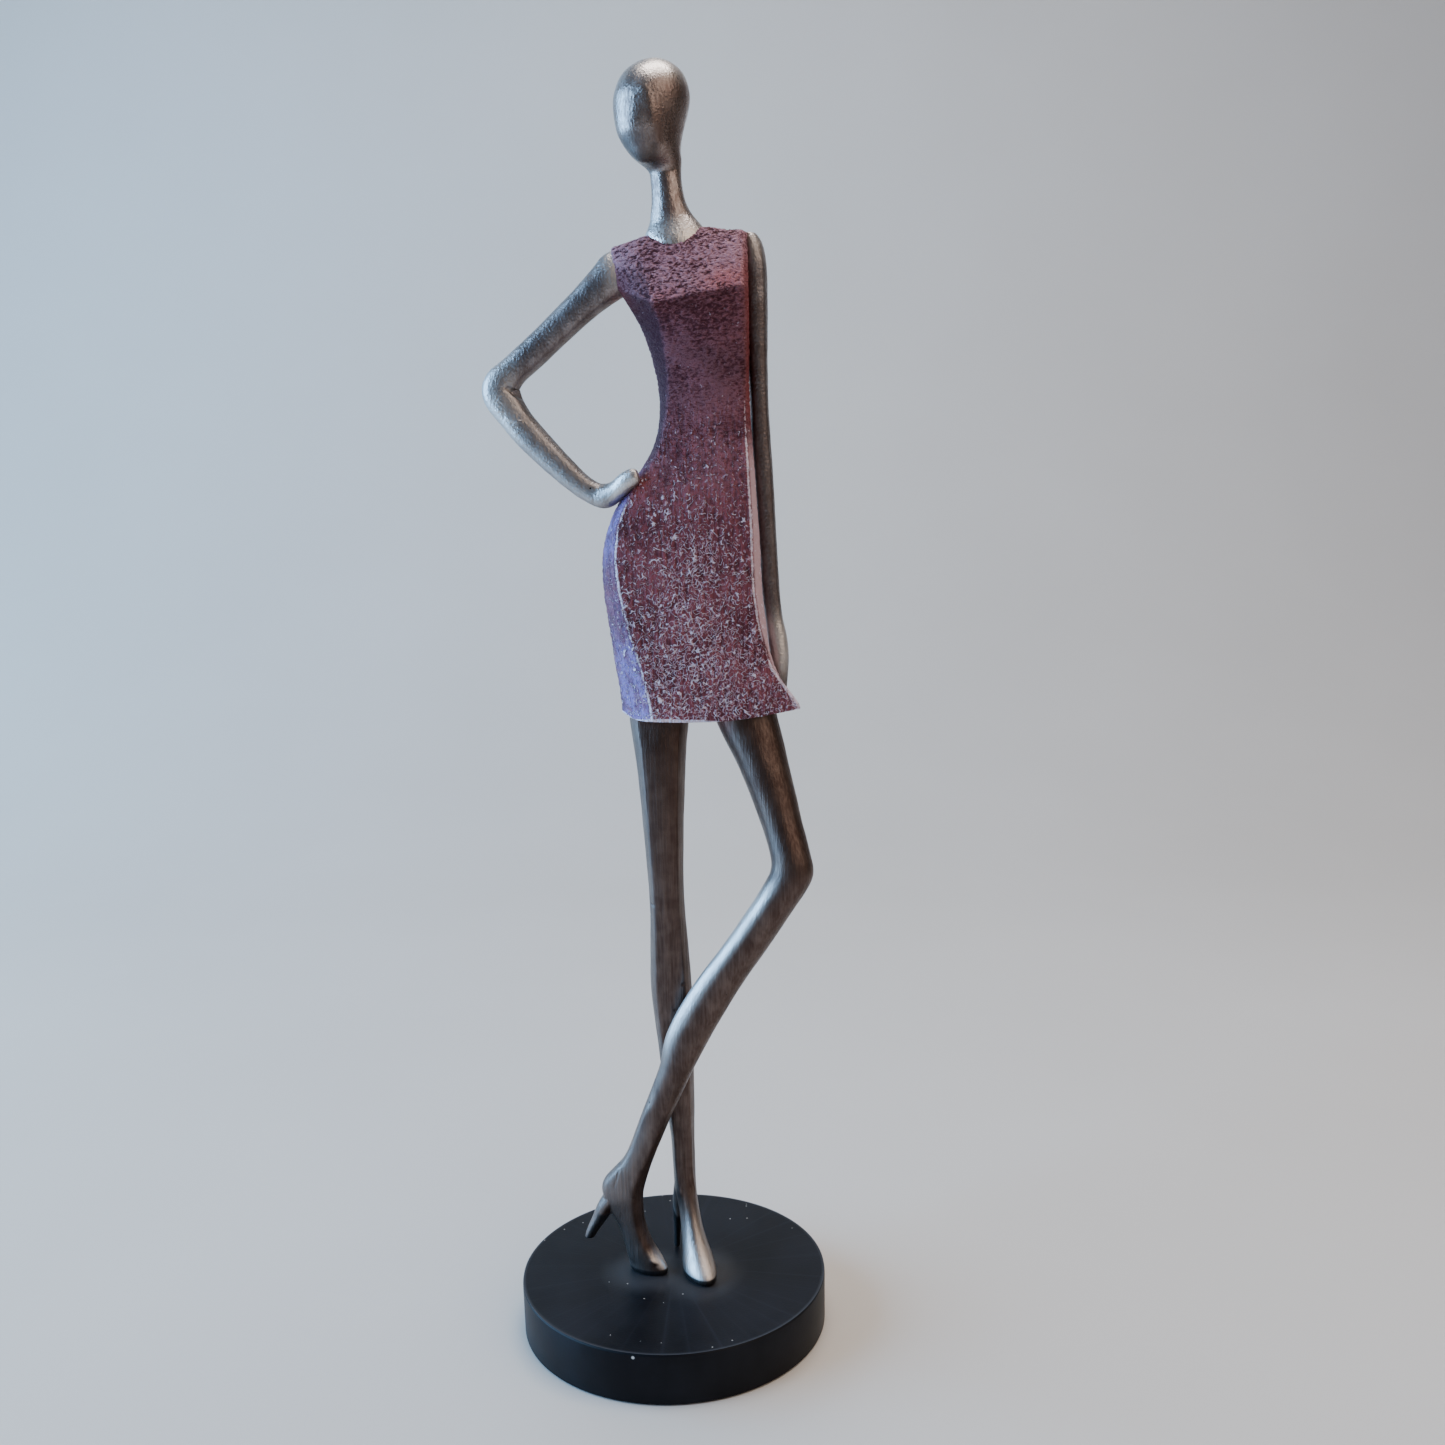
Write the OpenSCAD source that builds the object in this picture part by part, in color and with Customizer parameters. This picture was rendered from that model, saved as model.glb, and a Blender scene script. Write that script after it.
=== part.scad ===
// Faceless standing lady in a sleeveless dress, cast in resin over steel rods
// and bolted to a round base. Millimetres, +Z up, the origin at the middle of
// the base's underside, the figure facing -Y.
//
// Every point of the figure is written as [x, y, h], with h measured up from the
// soles of the shoes as it was drawn, and the function at() puts it in place.

/* [Base] */
// Diameter of the round base
base_d = 100; // [95:1:125]
// Height of the base, felt included
base_h = 16.5; // [14:0.5:22]
// Radius of the rounded top rim
rim_r = 2; // [1:0.5:3]
// Thickness of the felt pad under the base
felt_t = 1.5; // [1:0.5:2]
// How far the felt stands below the rim of the base
felt_proud = 0.5; // [0.2:0.1:0.6]

/* [Figure] */
// Height of the statuette from the table to the crown of the head
total_h = 391.5; // [370:0.5:420]
// Points round each limb
limb_sides = 24; // [16:4:28]
// Rings between two neighbouring stations of a limb
limb_steps = 2; // [1:1:2]

/* [Steel] */
// Diameter of the two threaded studs in the soles
stud_d = 3; // [3:0.5:4]
// Diameter of the two rods in the legs
rod_d = 3; // [2.5:0.1:3.2]
// Diameter of the wires in the arms
wire_d = 2; // [1.6:0.1:2.2]
// Diameter of the dowel that joins the neck to the dress
neck_dowel_d = 4; // [3:0.5:5]
// Length of the dowel that joins the neck to the dress
neck_dowel_len = 24; // [18:1:28]
// Diameter of the pin that holds the hand against the hip
hip_dowel_d = 1.6; // [1.4:0.1:2]
// Glue line left all round a rod, wire or dowel in its hole
glue = 0.05; // [0.02:0.01:0.1]
// Width across the flats of the fixing nuts
nut_af = 5.5; // [5.5:0.5:6]
// Height of the fixing nuts
nut_h = 2.4; // [2:0.1:2.6]
// Outer diameter of the washers
washer_d = 7; // [6.5:0.5:8]
// Thickness of the washers
washer_t = 0.6; // [0.5:0.1:0.8]

/* [Hidden] */
$fn = 64;

drawn_h = 375;                      // the figure's height as it was drawn
k = (total_h - base_h) / drawn_h;
counterbore_d = washer_d + 2;
counterbore_h = 7.5;                  // from the table to the seat of the washers
felt_r = base_d / 2 - 4;
stud_foot = 3.5;                      // the studs' lower ends, above the table
stud_top = 12;                        // the studs' upper ends, above the soles
wire_sides = 12;

pewter = [0.36, 0.32, 0.28];
champagne = [0.66, 0.62, 0.56];
marsala = [0.42, 0.22, 0.22];
satin_black = [0.03, 0.03, 0.04];
steel = [0.62, 0.63, 0.65];

// ---- the figure's own points, [x, y, h] ----

// Where the two studs leave the soles, square to the base
standing_sole = [7, -2.5];
crossed_sole = [-10, -2];

// The lines of the rods and wires, from the lower or outer end to the dress
standing_rod = [[4.2, 5.6, 28], [0.2, -1.5, 205]];
crossed_rod = [[-13.6, -2, 33], [-5.4, -4.6, 52], [14, -9.3, 96], [34, -12.4, 126],
    [38.6, -12.6, 136], [36.4, -8.4, 152], [27.2, -1, 184], [24, 0, 206]];
bent_wire = [[-19, -1, 252], [-38, 2.2, 272.6], [-43, 3, 281.4], [-38, 2.6, 288.8],
    [-12, 0.4, 312], [-2, 0, 316], [6, 0, 316]];
straight_wire = [[35.8, 4.5, 222], [33.4, 3.4, 270], [32.6, 2.2, 300], [31.6, 1.4, 314],
    [27, 1, 318], [18, 1, 318]];

hip_pin_outer = [-14.5, -1.6, 249.6];   // the end in the hand
hip_pin_len = 10;

leg_top = 185.5;                      // where the legs butt against the dress
right_armhole_x = 29.5;
// The left armhole leans out towards the shoulder
function left_armhole(h) = -7.6 - (h - 308) * 0.165;

// Stations [x, y, h, half width, half depth, turn] of level slices through a limb
standing_leg_stations = [
    [8.4, -5.4, 0, 4.3, 8.0, 20],
    [8.5, -5.4, 1.2, 5.0, 8.9, 20],
    [8.3, -4.6, 3.5, 5.0, 8.4, 20],
    [7.8, -3.0, 6.5, 4.6, 6.8, 20],
    [6.8, -0.8, 10.5, 3.9, 5.6, 19],
    [5.9, 1.6, 15, 3.4, 5.2, 16],
    [5.0, 3.9, 20, 3.3, 5.2, 13],
    [4.2, 5.2, 26, 3.6, 4.9, 10],
    [4.0, 5.8, 33, 3.7, 4.3, 0],
    [3.8, 5.4, 43, 3.9, 4.2, 0],
    [3.2, 4.4, 58, 4.8, 4.8, 0],
    [2.6, 3.2, 74, 5.7, 5.3, 0],
    [1.7, 1.4, 94, 6.6, 5.7, 0],
    [1.4, 0.2, 111, 6.0, 5.6, 0],
    [1.1, -0.6, 124, 5.5, 5.7, 0],
    [0.8, -0.8, 140, 6.0, 6.2, 0],
    [0.6, -0.4, 158, 7.0, 7.0, 0],
    [0.4, 0.4, 172, 8.1, 7.4, 0],
    [0.3, 0.9, 181, 9.2, 6.8, 0],
    [0.3, 1, leg_top, 9.3, 6.7, 0]];
standing_heel_stations = [
    [0.6, 12.4, 0, 1.0, 1.2, 15],
    [0.8, 12.0, 6, 1.1, 1.3, 15],
    [1.4, 10.9, 13, 1.7, 1.9, 15],
    [2.3, 9.0, 19, 2.6, 2.8, 15],
    [3.4, 6.8, 25, 3.1, 3.4, 10],
    [3.9, 6.0, 30, 2.9, 3.0, 0]];
crossed_leg_stations = [
    [-8.1, -2.4, 0, 6.1, 3.2, -22],
    [-8.1, -2.4, 1.2, 6.8, 3.8, -22],
    [-8.8, -2.2, 4, 6.2, 3.8, -22],
    [-10.6, -1.7, 8, 5.0, 3.7, -22],
    [-12.0, -1.4, 12, 4.5, 3.5, -22],
    [-13.4, -1.3, 16.5, 4.7, 3.5, -20],
    [-15.1, -1.4, 22, 6.1, 3.6, -16],
    [-16.0, -1.6, 27.5, 7.2, 3.8, -12],
    [-14.8, -2.0, 32, 7.0, 3.9, -8],
    [-12.2, -2.6, 36.5, 5.7, 4.0, -4],
    [-9.6, -3.2, 41, 4.8, 4.0, 0],
    [-5.2, -4.4, 52, 4.9, 4.2, 0],
    [-0.6, -5.9, 63, 5.3, 4.5, 0],
    [3.3, -7.5, 72.5, 5.7, 4.7, 0],
    [7.2, -8.3, 83, 7.3, 4.9, 0],
    [15.0, -9.6, 97, 7.6, 5.1, 0],
    [25.4, -11.2, 112, 7.3, 5.3, 0],
    [33.4, -12.6, 124, 7.1, 5.5, 0],
    [38.8, -13.2, 132.5, 7.1, 5.7, 0],
    [40.2, -12.8, 137, 6.5, 5.9, 0],
    [39.5, -11.6, 142, 6.2, 6.2, 0],
    [37.1, -8.6, 151, 6.5, 6.5, 0],
    [32.4, -4.8, 167, 7.8, 7.2, 0],
    [29.2, -2.2, 176, 9.1, 7.6, 0],
    [27.2, -0.8, 182, 9.7, 7.8, 0],
    [26.5, -0.6, leg_top, 9.8, 7.8, 0]];
crossed_heel_stations = [
    [-27.4, 0.6, 10.6, 1.7, 1.2, -20],
    [-26.5, 0.5, 13, 2.2, 1.4, -20],
    [-23.9, 0.2, 17.5, 2.9, 1.9, -20],
    [-21.4, -0.4, 22.5, 3.3, 2.8, -20],
    [-18.2, -1.0, 27, 3.6, 3.0, -15],
    [-16.4, -1.6, 31, 2.6, 2.4, -10]];
head_stations = [
    [9.2, 0.4, 319, 8.6, 7.6, 0],
    [9.4, 0.4, 323, 9.2, 7.6, 0],
    [9.5, 0.4, 326, 9.0, 6.8, 0],
    [9.2, 0.5, 329.5, 7.4, 5.7, 0],
    [8.4, 0.8, 334, 5.8, 4.9, 0],
    [7.7, 1.0, 340, 4.9, 4.6, 0],
    [7.0, 1.1, 344, 4.6, 4.7, 0],
    [5.4, -0.8, 346.4, 6.4, 7.0, 0],
    [3.4, -1.9, 349, 8.2, 9.2, 0],
    [2.8, -1.6, 354, 9.6, 10.9, 0],
    [3.1, -0.9, 360, 11.0, 12.3, 0],
    [3.5, -0.4, 365, 11.0, 12.4, 0],
    [3.9, 0.2, 370, 9.3, 10.4, 0],
    [4.1, 0.5, 373, 6.2, 6.9, 0],
    [4.3, 0.5, 374.6, 2.9, 3.2, 0],
    [4.3, 0.5, drawn_h, 0.6, 0.7, 0]];
straight_arm_stations = [
    [38.4, 3.0, 188.5, 0.8, 1.0, 0],
    [38.1, 3.2, 190.5, 2.0, 2.2, 0],
    [37.9, 3.5, 195, 2.7, 3.0, 0],
    [38.0, 3.9, 201, 3.0, 3.4, 0],
    [37.4, 4.3, 207, 3.0, 3.3, 0],
    [36.3, 4.6, 214, 2.7, 3.1, 0],
    [35.6, 4.6, 223, 2.8, 3.2, 0],
    [35.0, 4.4, 236, 2.8, 3.4, 0],
    [34.4, 4.0, 250, 2.9, 3.6, 0],
    [33.6, 3.6, 264, 3.0, 3.8, 0],
    [33.2, 3.2, 275, 2.8, 3.8, 0],
    [33.0, 2.8, 287, 2.9, 4.2, 0],
    [32.6, 2.2, 300, 3.5, 4.8, 0],
    [32.4, 1.6, 312, 3.8, 5.2, 0],
    [32.0, 1.0, 319, 3.8, 5.2, 0],
    [31.4, 0.6, 323.5, 3.3, 4.4, 0],
    [30.8, 0.4, 326, 2.0, 3.0, 0]];

// Stations [x, y, h, half width, half depth, turn] square to the arm's own line,
// from the finger tips over the wrist and elbow to the shoulder
bent_arm_stations = [
    [-3.1, -8.6, 255.7, 0.6, 0.8, 0],
    [-4.6, -8.3, 255.5, 1.9, 1.7, 0],
    [-7.4, -7.0, 254, 2.6, 2.6, 0],
    [-10.2, -4.6, 252, 3.2, 3.4, 0],
    [-13.6, -2.2, 250.4, 3.8, 3.6, 0],
    [-17.4, -1.0, 251.4, 3.4, 3.3, 0],
    [-22.6, -0.2, 255, 3.6, 3.6, 0],
    [-29.6, 1, 261.8, 4.2, 4.0, 0],
    [-36.4, 2, 269, 4.6, 4.3, 0],
    [-41.6, 2.8, 275.8, 4.9, 4.4, 0],
    [-44.8, 3, 282.6, 6.0, 4.7, 0],
    [-41.2, 2.8, 287.6, 4.6, 4.5, 0],
    [-35, 2.2, 292.6, 4.5, 4.4, 0],
    [-26, 1.4, 300.4, 4.6, 4.4, 0],
    [-17.6, 0.6, 307.6, 5.0, 4.6, 0],
    [-11.4, 0, 312.6, 6.0, 4.8, 0],
    [-8.6, 0, 314.8, 6.9, 4.6, 0],
    [-6, 0, 315.8, 6.6, 3.8, 0]];

// Corners of the dress at each station: the left side, the left and right edges
// of the front panel, the right side, then [left x, right x, y] of the back
dress_stations = [
    [[-11.4, 1, 184.5], [-1.4, -12, 183], [43.4, -10, 185], [39.5, 2.5, 184], [-5, 33, 10.5]],
    [[-11.7, 1, 188], [-2, -11.8, 188], [40.8, -9.8, 188], [36.6, 1.6, 188], [-6, 31.4, 10.8]],
    [[-12.8, 1, 198], [-4.2, -11.4, 198], [35.2, -9.6, 198], [35.4, -0.6, 198], [-7, 30, 11.2]],
    [[-14.4, 1, 210], [-7.8, -10.8, 210], [31.7, -9, 210], [34.2, -1.4, 210], [-9, 28.4, 11.8]],
    [[-15.6, 1, 221], [-10, -10.4, 221], [30.2, -9, 221], [33, -1.6, 221], [-10, 27.4, 12]],
    [[-16, 1, 231], [-11.2, -9.6, 231], [29.8, -8.8, 231], [31.8, -1.8, 231], [-10.5, 26.6, 11.6]],
    [[-13.8, 1, 241], [-10.2, -8.6, 241], [29.6, -8.4, 241], [31, -1.6, 241], [-8.6, 26, 10.8]],
    [[-9.4, 1, 249.5], [-6.6, -7.8, 249.5], [29.2, -8, 249.5], [30.4, -1.4, 249.5], [-5, 25.6, 9.8]],
    [[-3.4, 1, 257.5], [-0.8, -7.4, 257.5], [28.8, -7.6, 257.5], [29.8, -1, 257.5], [0, 25.6, 9]],
    [[1.2, 1, 265], [3.4, -7.4, 265], [28.4, -7.4, 265], [29.2, -1, 265], [3.6, 25.6, 8.2]],
    [[3.2, 1, 276], [5.8, -7.6, 276], [28, -7.4, 276], [28.9, -1, 276], [5.4, 26, 7.8]],
    [[1.6, 1, 289], [6, -8.6, 289], [28.4, -8, 289], [29.1, -1, 289], [4.6, 27, 8]],
    [[-1.8, 0, 300], [4.4, -10, 299], [29, -9, 300], [right_armhole_x, -3.5, 300], [0, 29, 8]],
    [[-5.4, -2, 306.4], [2.8, -11, 303], [28.8, -9.6, 307], [right_armhole_x, -4, 307],
        [-5, right_armhole_x, 7.8]],
    [[left_armhole(310), -4, 310], [2.4, -13, 304.4], [28.6, -11.4, 309.4],
        [right_armhole_x, -4.6, 310], [left_armhole(310), right_armhole_x, 7.6]],
    [[left_armhole(313.5), -4.4, 313.5], [2, -12.2, 308], [28.4, -10.8, 312.4],
        [right_armhole_x, -4.8, 313], [left_armhole(313.5), right_armhole_x, 7.4]],
    [[left_armhole(319), -4, 319], [0, -9, 317], [28.6, -8.4, 320],
        [right_armhole_x, -4.6, 320], [left_armhole(319), right_armhole_x, 7]],
    [[left_armhole(322), -2.6, 322], [-1.2, -6.2, 323], [29, -5.8, 325.6],
        [right_armhole_x, -3, 325.6], [left_armhole(322), right_armhole_x, 5.4]],
    [[-9, -0.6, 323.2], [0, -2.6, 325.8], [29, -2.6, 328], [right_armhole_x, -0.8, 327.4],
        [-8, 29, 1.8]]];
dress_smooth_to = 12;                 // stations above this one keep their sharp bust edge
// How far each side of a dress ring bows outwards, below and above the armpits
skirt_bulges = [0.8, 1.4, 0.7, 0.4, 2.6, 0.8];
bust_bulges = [0.6, 1.2, 0.4, 0, 1.4, 0];
armpit_h = 302;
dress_cuts = 5;                       // points along each side of a dress ring
hem_recess = [0.935, 0.9];            // size of the hollow in the hem against its outline
hem_middle = [13, -0.5];
// Height of the hem at x, which dips in front of the crossed thigh
hem_heights = [[-12, 184.6], [-7, 182.2], [0, 183], [13, 182.4], [28, 180.9], [36, 182.2],
    [40, 183.6], [43.5, 185.5]];

// ---- helpers ----

function at(p) = [p[0] * k, p[1] * k, base_h + p[2] * k];

// A value between p1 and p2 on the smooth curve through four neighbours
function blend4(p0, p1, p2, p3, t) =
    0.5 * (2 * p1 + (p2 - p0) * t + (2 * p0 - 5 * p1 + 4 * p2 - p3) * t * t
        + (3 * p1 - p0 - 3 * p2 + p3) * t * t * t);

// The stations with `steps` rings from each one to the next
function smooth(list, steps) = let (last = len(list) - 1)
    [for (i = [0:last], s = [0:(i < last ? steps - 1 : 0)])
        s == 0 ? list[i]
            : blend4(list[max(i - 1, 0)], list[i], list[i + 1], list[min(i + 2, last)], s / steps)];

function turned(x, y, a) = [x * cos(a) - y * sin(a), x * sin(a) + y * cos(a)];

// A level slice of a limb
function slice(s) = [for (i = [0:limb_sides - 1])
    let (a = 360 * i / limb_sides, q = turned(s[3] * cos(a), s[4] * sin(a), s[5]))
        at([s[0] + q[0], s[1] + q[1], s[2]])];

function unit(v) = v / norm(v);

// A slice square to the line through stations [x, y, h, half width, half depth, turn]
function cuff(list, n, sides) =
    let (s = list[n],
        before = list[max(n - 1, 0)],
        after = list[min(n + 1, len(list) - 1)],
        along = unit([after[0] - before[0], after[1] - before[1], after[2] - before[2]]),
        side = unit(cross([0, 1, 0], along)),
        depth = cross(along, side))
    [for (i = [0:sides - 1]) let (a = 360 * i / sides)
        at([s[0], s[1], s[2]] + s[3] * cos(a) * side + s[4] * sin(a) * depth)];

// The mean of a ring's points, which closes an end
function centre(ring) = let (n = len(ring), ones = [for (p = ring) 1]) (ones * ring) / n;

module loft(rings) {
    n = len(rings[0]);
    last = len(rings) - 1;
    low = n * (last + 1);
    polyhedron(
        points = concat([for (ring = rings, p = ring) p], [centre(rings[0]), centre(rings[last])]),
        faces = concat(
            [for (j = [0:n - 1]) [low, j, (j + 1) % n]],
            [for (i = [0:last - 1], j = [0:n - 1])
                [i * n + j, (i + 1) * n + j, (i + 1) * n + (j + 1) % n]],
            [for (i = [0:last - 1], j = [0:n - 1])
                [i * n + j, (i + 1) * n + (j + 1) % n, i * n + (j + 1) % n]],
            [for (j = [0:n - 1]) [low + 1, last * n + (j + 1) % n, last * n + j]]),
        convexity = 6);
}

module limb(stations) loft([for (s = smooth(stations, limb_steps)) slice(s)]);

// A round rod or wire of diameter d along the smooth curve through points of the figure
module wire(points, d) {
    r = d / 2 / k;
    path = smooth([for (p = points) [p[0], p[1], p[2], r, r, 0]], 3);
    loft([for (n = [0:len(path) - 1]) cuff(path, n, wire_sides)]);
}

// Puts its children on the table under each sole's stud
module at_soles() {
    for (sole = [standing_sole, crossed_sole]) {
        foot = at([sole[0], sole[1], 0]);
        translate([foot[0], foot[1], 0]) children();
    }
}

module studs(d)
    at_soles() translate([0, 0, stud_foot]) cylinder(d = d, h = base_h + stud_top * k - stud_foot);

// ---- the base ----

module base_disc() {
    bottom = felt_proud;
    color(satin_black)
        difference() {
            rotate_extrude()
                difference() {
                    translate([0, bottom]) square([base_d / 2, base_h - bottom]);
                    translate([base_d / 2 - rim_r, base_h - rim_r])
                        difference() {
                            square(rim_r + 1);
                            circle(r = rim_r);
                        }
                    translate([base_d / 2, bottom]) rotate(45) square(1.4, center = true);
                }
            translate([0, 0, bottom - 1]) cylinder(r = felt_r + 0.2, h = felt_t - bottom + 1);
            at_soles() {
                translate([0, 0, -1]) cylinder(d = counterbore_d, h = counterbore_h + 1);
                cylinder(d = stud_d + 2 * glue, h = base_h + 1);
            }
        }
}

module felt_pad()
    color([0.05, 0.05, 0.05]) cylinder(r = felt_r, h = felt_t);

module fixing_washers()
    color(steel)
        at_soles()
            translate([0, 0, counterbore_h - washer_t])
                difference() {
                    cylinder(d = washer_d, h = washer_t);
                    translate([0, 0, -1]) cylinder(d = stud_d + 0.2, h = washer_t + 2);
                }

module fixing_nuts()
    color(steel)
        at_soles()
            translate([0, 0, counterbore_h - washer_t - nut_h])
                difference() {
                    cylinder(d = nut_af / cos(30), h = nut_h, $fn = 6);
                    translate([0, 0, -1]) cylinder(d = stud_d + 2 * glue, h = nut_h + 2);
                }

// ---- the legs ----

module foot_studs()
    color(steel) studs(stud_d);

module standing_leg()
    color(pewter)
        difference() {
            union() {
                limb(standing_leg_stations);
                limb(standing_heel_stations);
            }
            wire(standing_rod, rod_d + 2 * glue);
            studs(stud_d + 2 * glue);
        }

module standing_leg_rod()
    color(steel) wire(standing_rod, rod_d);

module crossed_leg()
    color(pewter)
        difference() {
            union() {
                limb(crossed_leg_stations);
                limb(crossed_heel_stations);
            }
            wire(crossed_rod, rod_d + 2 * glue);
            studs(stud_d + 2 * glue);
        }

module crossed_leg_rod()
    color(steel) wire(crossed_rod, rod_d);

// ---- the dress ----

// Points from corner a towards corner b on a side that bows outwards
function bowed(a, b, bulge) = let (run = b - a, out = unit([run[1], -run[0], 0]))
    [for (i = [0:dress_cuts - 1]) let (t = i / dress_cuts) a + run * t + out * bulge * 4 * t * (1 - t)];

function dress_corners(s) = [s[0], s[1], s[2], s[3],
    [s[4][1], s[4][2], s[3][2]], [s[4][0], s[4][2], s[0][2]]];

function dress_ring(s) =
    let (c = dress_corners(s), bulges = s[0][2] < armpit_h ? skirt_bulges : bust_bulges)
    [for (i = [0:5], p = bowed(c[i], c[(i + 1) % 6], bulges[i])) p];

function placed(ring) = [for (p = ring) at(p)];

function hem_ring(ring) = [for (p = ring) [p[0], p[1], lookup(p[0], hem_heights)]];

dress_rings = let (rings = [for (s = dress_stations) dress_ring(s)])
    concat(smooth([for (i = [0:dress_smooth_to]) rings[i]], 2),
        [for (i = [dress_smooth_to + 1:len(rings) - 1]) rings[i]]);

module dress_body()
    loft([for (i = [0:len(dress_rings) - 1])
        placed(i == 0 ? hem_ring(dress_rings[0]) : dress_rings[i])]);

// The shallow hollow inside the hem, with a flat ceiling that the legs butt against
module hem_hollow() {
    outline = [for (p = dress_rings[0]) let (out = [p[0], p[1]] - hem_middle)
        (hem_middle + [out[0] * hem_recess[0], out[1] * hem_recess[1]]) * k];
    translate([0, 0, base_h]) linear_extrude(leg_top * k) polygon(outline);
}

module dress()
    color(marsala)
        difference() {
            dress_body();
            hem_hollow();
            limb(head_stations);
            wire(standing_rod, rod_d + 2 * glue);
            wire(crossed_rod, rod_d + 2 * glue);
            neck_pin(neck_dowel_d + 2 * glue, glue);
            wire(bent_wire, wire_d + 2 * glue);
            wire(straight_wire, wire_d + 2 * glue);
            hip_pin(hip_dowel_d + 2 * glue, glue);
        }

// ---- the head ----

module neck_pin(d, extra) {
    foot = at([9, 0.6, 322]);
    translate([foot[0], foot[1], foot[2] - neck_dowel_len / 2 - extra])
        cylinder(d = d, h = neck_dowel_len + 2 * extra);
}

module neck_dowel()
    color(steel) neck_pin(neck_dowel_d, 0);

module head_and_neck()
    color(champagne)
        difference() {
            limb(head_stations);
            neck_pin(neck_dowel_d + 2 * glue, glue);
        }

// ---- the arms ----

module bent_arm() {
    stations = smooth(bent_arm_stations, limb_steps);
    color(pewter)
        difference() {
            loft([for (n = [0:len(stations) - 1]) cuff(stations, n, limb_sides)]);
            dress_body();
            wire(bent_wire, wire_d + 2 * glue);
            hip_pin(hip_dowel_d + 2 * glue, glue);
        }
}

module bent_arm_wire()
    color(steel) wire(bent_wire, wire_d);

module straight_arm()
    color(pewter)
        difference() {
            limb(straight_arm_stations);
            dress_body();
            wire(straight_wire, wire_d + 2 * glue);
        }

module straight_arm_wire()
    color(steel) wire(straight_wire, wire_d);

module hip_pin(d, extra)
    translate(at(hip_pin_outer) - [extra, 0, 0])
        rotate([0, 90, 0]) cylinder(d = d, h = hip_pin_len + 2 * extra);

module hip_dowel()
    color(steel) hip_pin(hip_dowel_d, 0);

base_disc();
felt_pad();
foot_studs();
fixing_nuts();
fixing_washers();
standing_leg();
standing_leg_rod();
crossed_leg();
crossed_leg_rod();
dress();
head_and_neck();
neck_dowel();
bent_arm();
bent_arm_wire();
straight_arm();
straight_arm_wire();
hip_dowel();
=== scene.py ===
# A tall faceless lady in a short dress, cast in resin, painted and fixed to a round
# black base. Metres, +Z up, the figure faces -Y.

from math import cos, pi, radians, sin

import bmesh
import bpy
import numpy as np
from mathutils import Matrix, Vector


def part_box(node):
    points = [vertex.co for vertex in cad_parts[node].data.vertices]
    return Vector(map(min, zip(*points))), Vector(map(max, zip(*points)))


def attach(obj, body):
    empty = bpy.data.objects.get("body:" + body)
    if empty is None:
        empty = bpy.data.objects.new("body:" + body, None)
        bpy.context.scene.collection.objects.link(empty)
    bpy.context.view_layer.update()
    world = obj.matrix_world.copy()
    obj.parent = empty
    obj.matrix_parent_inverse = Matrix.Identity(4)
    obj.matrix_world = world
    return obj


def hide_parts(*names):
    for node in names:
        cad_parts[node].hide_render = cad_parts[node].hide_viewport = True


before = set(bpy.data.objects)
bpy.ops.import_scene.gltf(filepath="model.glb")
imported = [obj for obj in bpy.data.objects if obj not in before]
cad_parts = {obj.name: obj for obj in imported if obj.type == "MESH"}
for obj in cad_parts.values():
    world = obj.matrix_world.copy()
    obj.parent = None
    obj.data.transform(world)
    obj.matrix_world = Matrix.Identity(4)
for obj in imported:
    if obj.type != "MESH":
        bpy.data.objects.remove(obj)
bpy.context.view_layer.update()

mm = 0.001
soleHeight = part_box("standing_leg")[0].z
baseLow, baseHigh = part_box("base_disc")
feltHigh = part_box("felt_pad")[1]
drawnHeight = 375  # of the figure without its base, in mm, as its points are given below
figureScale = (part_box("head_and_neck")[1].z - soleHeight) / (drawnHeight * mm)


# Helpers for places

def spot(x, y, h):
    # a point of the figure: mm from its axis, and mm above the soles
    return Vector((x, y, h)) * mm * figureScale + Vector((0, 0, soleHeight))


def throughStations(stations, steps):
    # rows between the stations, on a smooth curve through them
    rows = np.array(stations, float)
    last = len(rows) - 1
    out = []
    for i in range(last):
        a, b, c, d = rows[max(i - 1, 0)], rows[i], rows[i + 1], rows[min(i + 2, last)]
        for t in np.arange(steps) / steps:
            out.append((2 * b + (c - a) * t + (2 * a - 5 * b + 4 * c - d) * t**2
                        + (3 * b - a - 3 * c + d) * t**3) / 2)
    return out + [rows[last]]


def rise(value, low, high):
    # 0 below low, 1 above high, and smooth between
    t = np.clip((value - low) / (high - low), 0, 1)
    return t * t * (3 - 2 * t)


def fall(value, low, high):
    return rise(-value, -high, -low)


def nearLine(points, line):
    # how far each point is from a line of corners, and how far along it
    best = np.full(len(points), 1e9)
    along = np.zeros(len(points))
    travelled = 0.0
    for a, b in zip(line[:-1], line[1:]):
        a, b = np.array(a), np.array(b)
        run = b - a
        t = np.clip((points - a) @ run / (run @ run), 0, 1)
        away = np.linalg.norm(points - a - t[:, None] * run, axis=1)
        closer = away < best
        best[closer] = away[closer]
        along[closer] = travelled + t[closer] * np.linalg.norm(run)
        travelled += np.linalg.norm(run)
    return best, along


def fade(gap, width):
    # 1 at no gap, falling softly to nothing
    return np.exp(-((gap / width) ** 2))


# Helpers for meshes

def deselect():
    bpy.ops.object.select_all(action="DESELECT")


def openNew(name):
    deselect()
    bpy.ops.mesh.primitive_circle_add(vertices=8, radius=mm)
    piece = bpy.context.object
    piece.name = piece.data.name = name
    piece.vertex_groups.new(name="ridges")
    bpy.ops.object.mode_set(mode="EDIT")
    bpy.ops.mesh.select_mode(type="VERT")
    bpy.ops.mesh.delete(type="VERT")
    return piece


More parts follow.
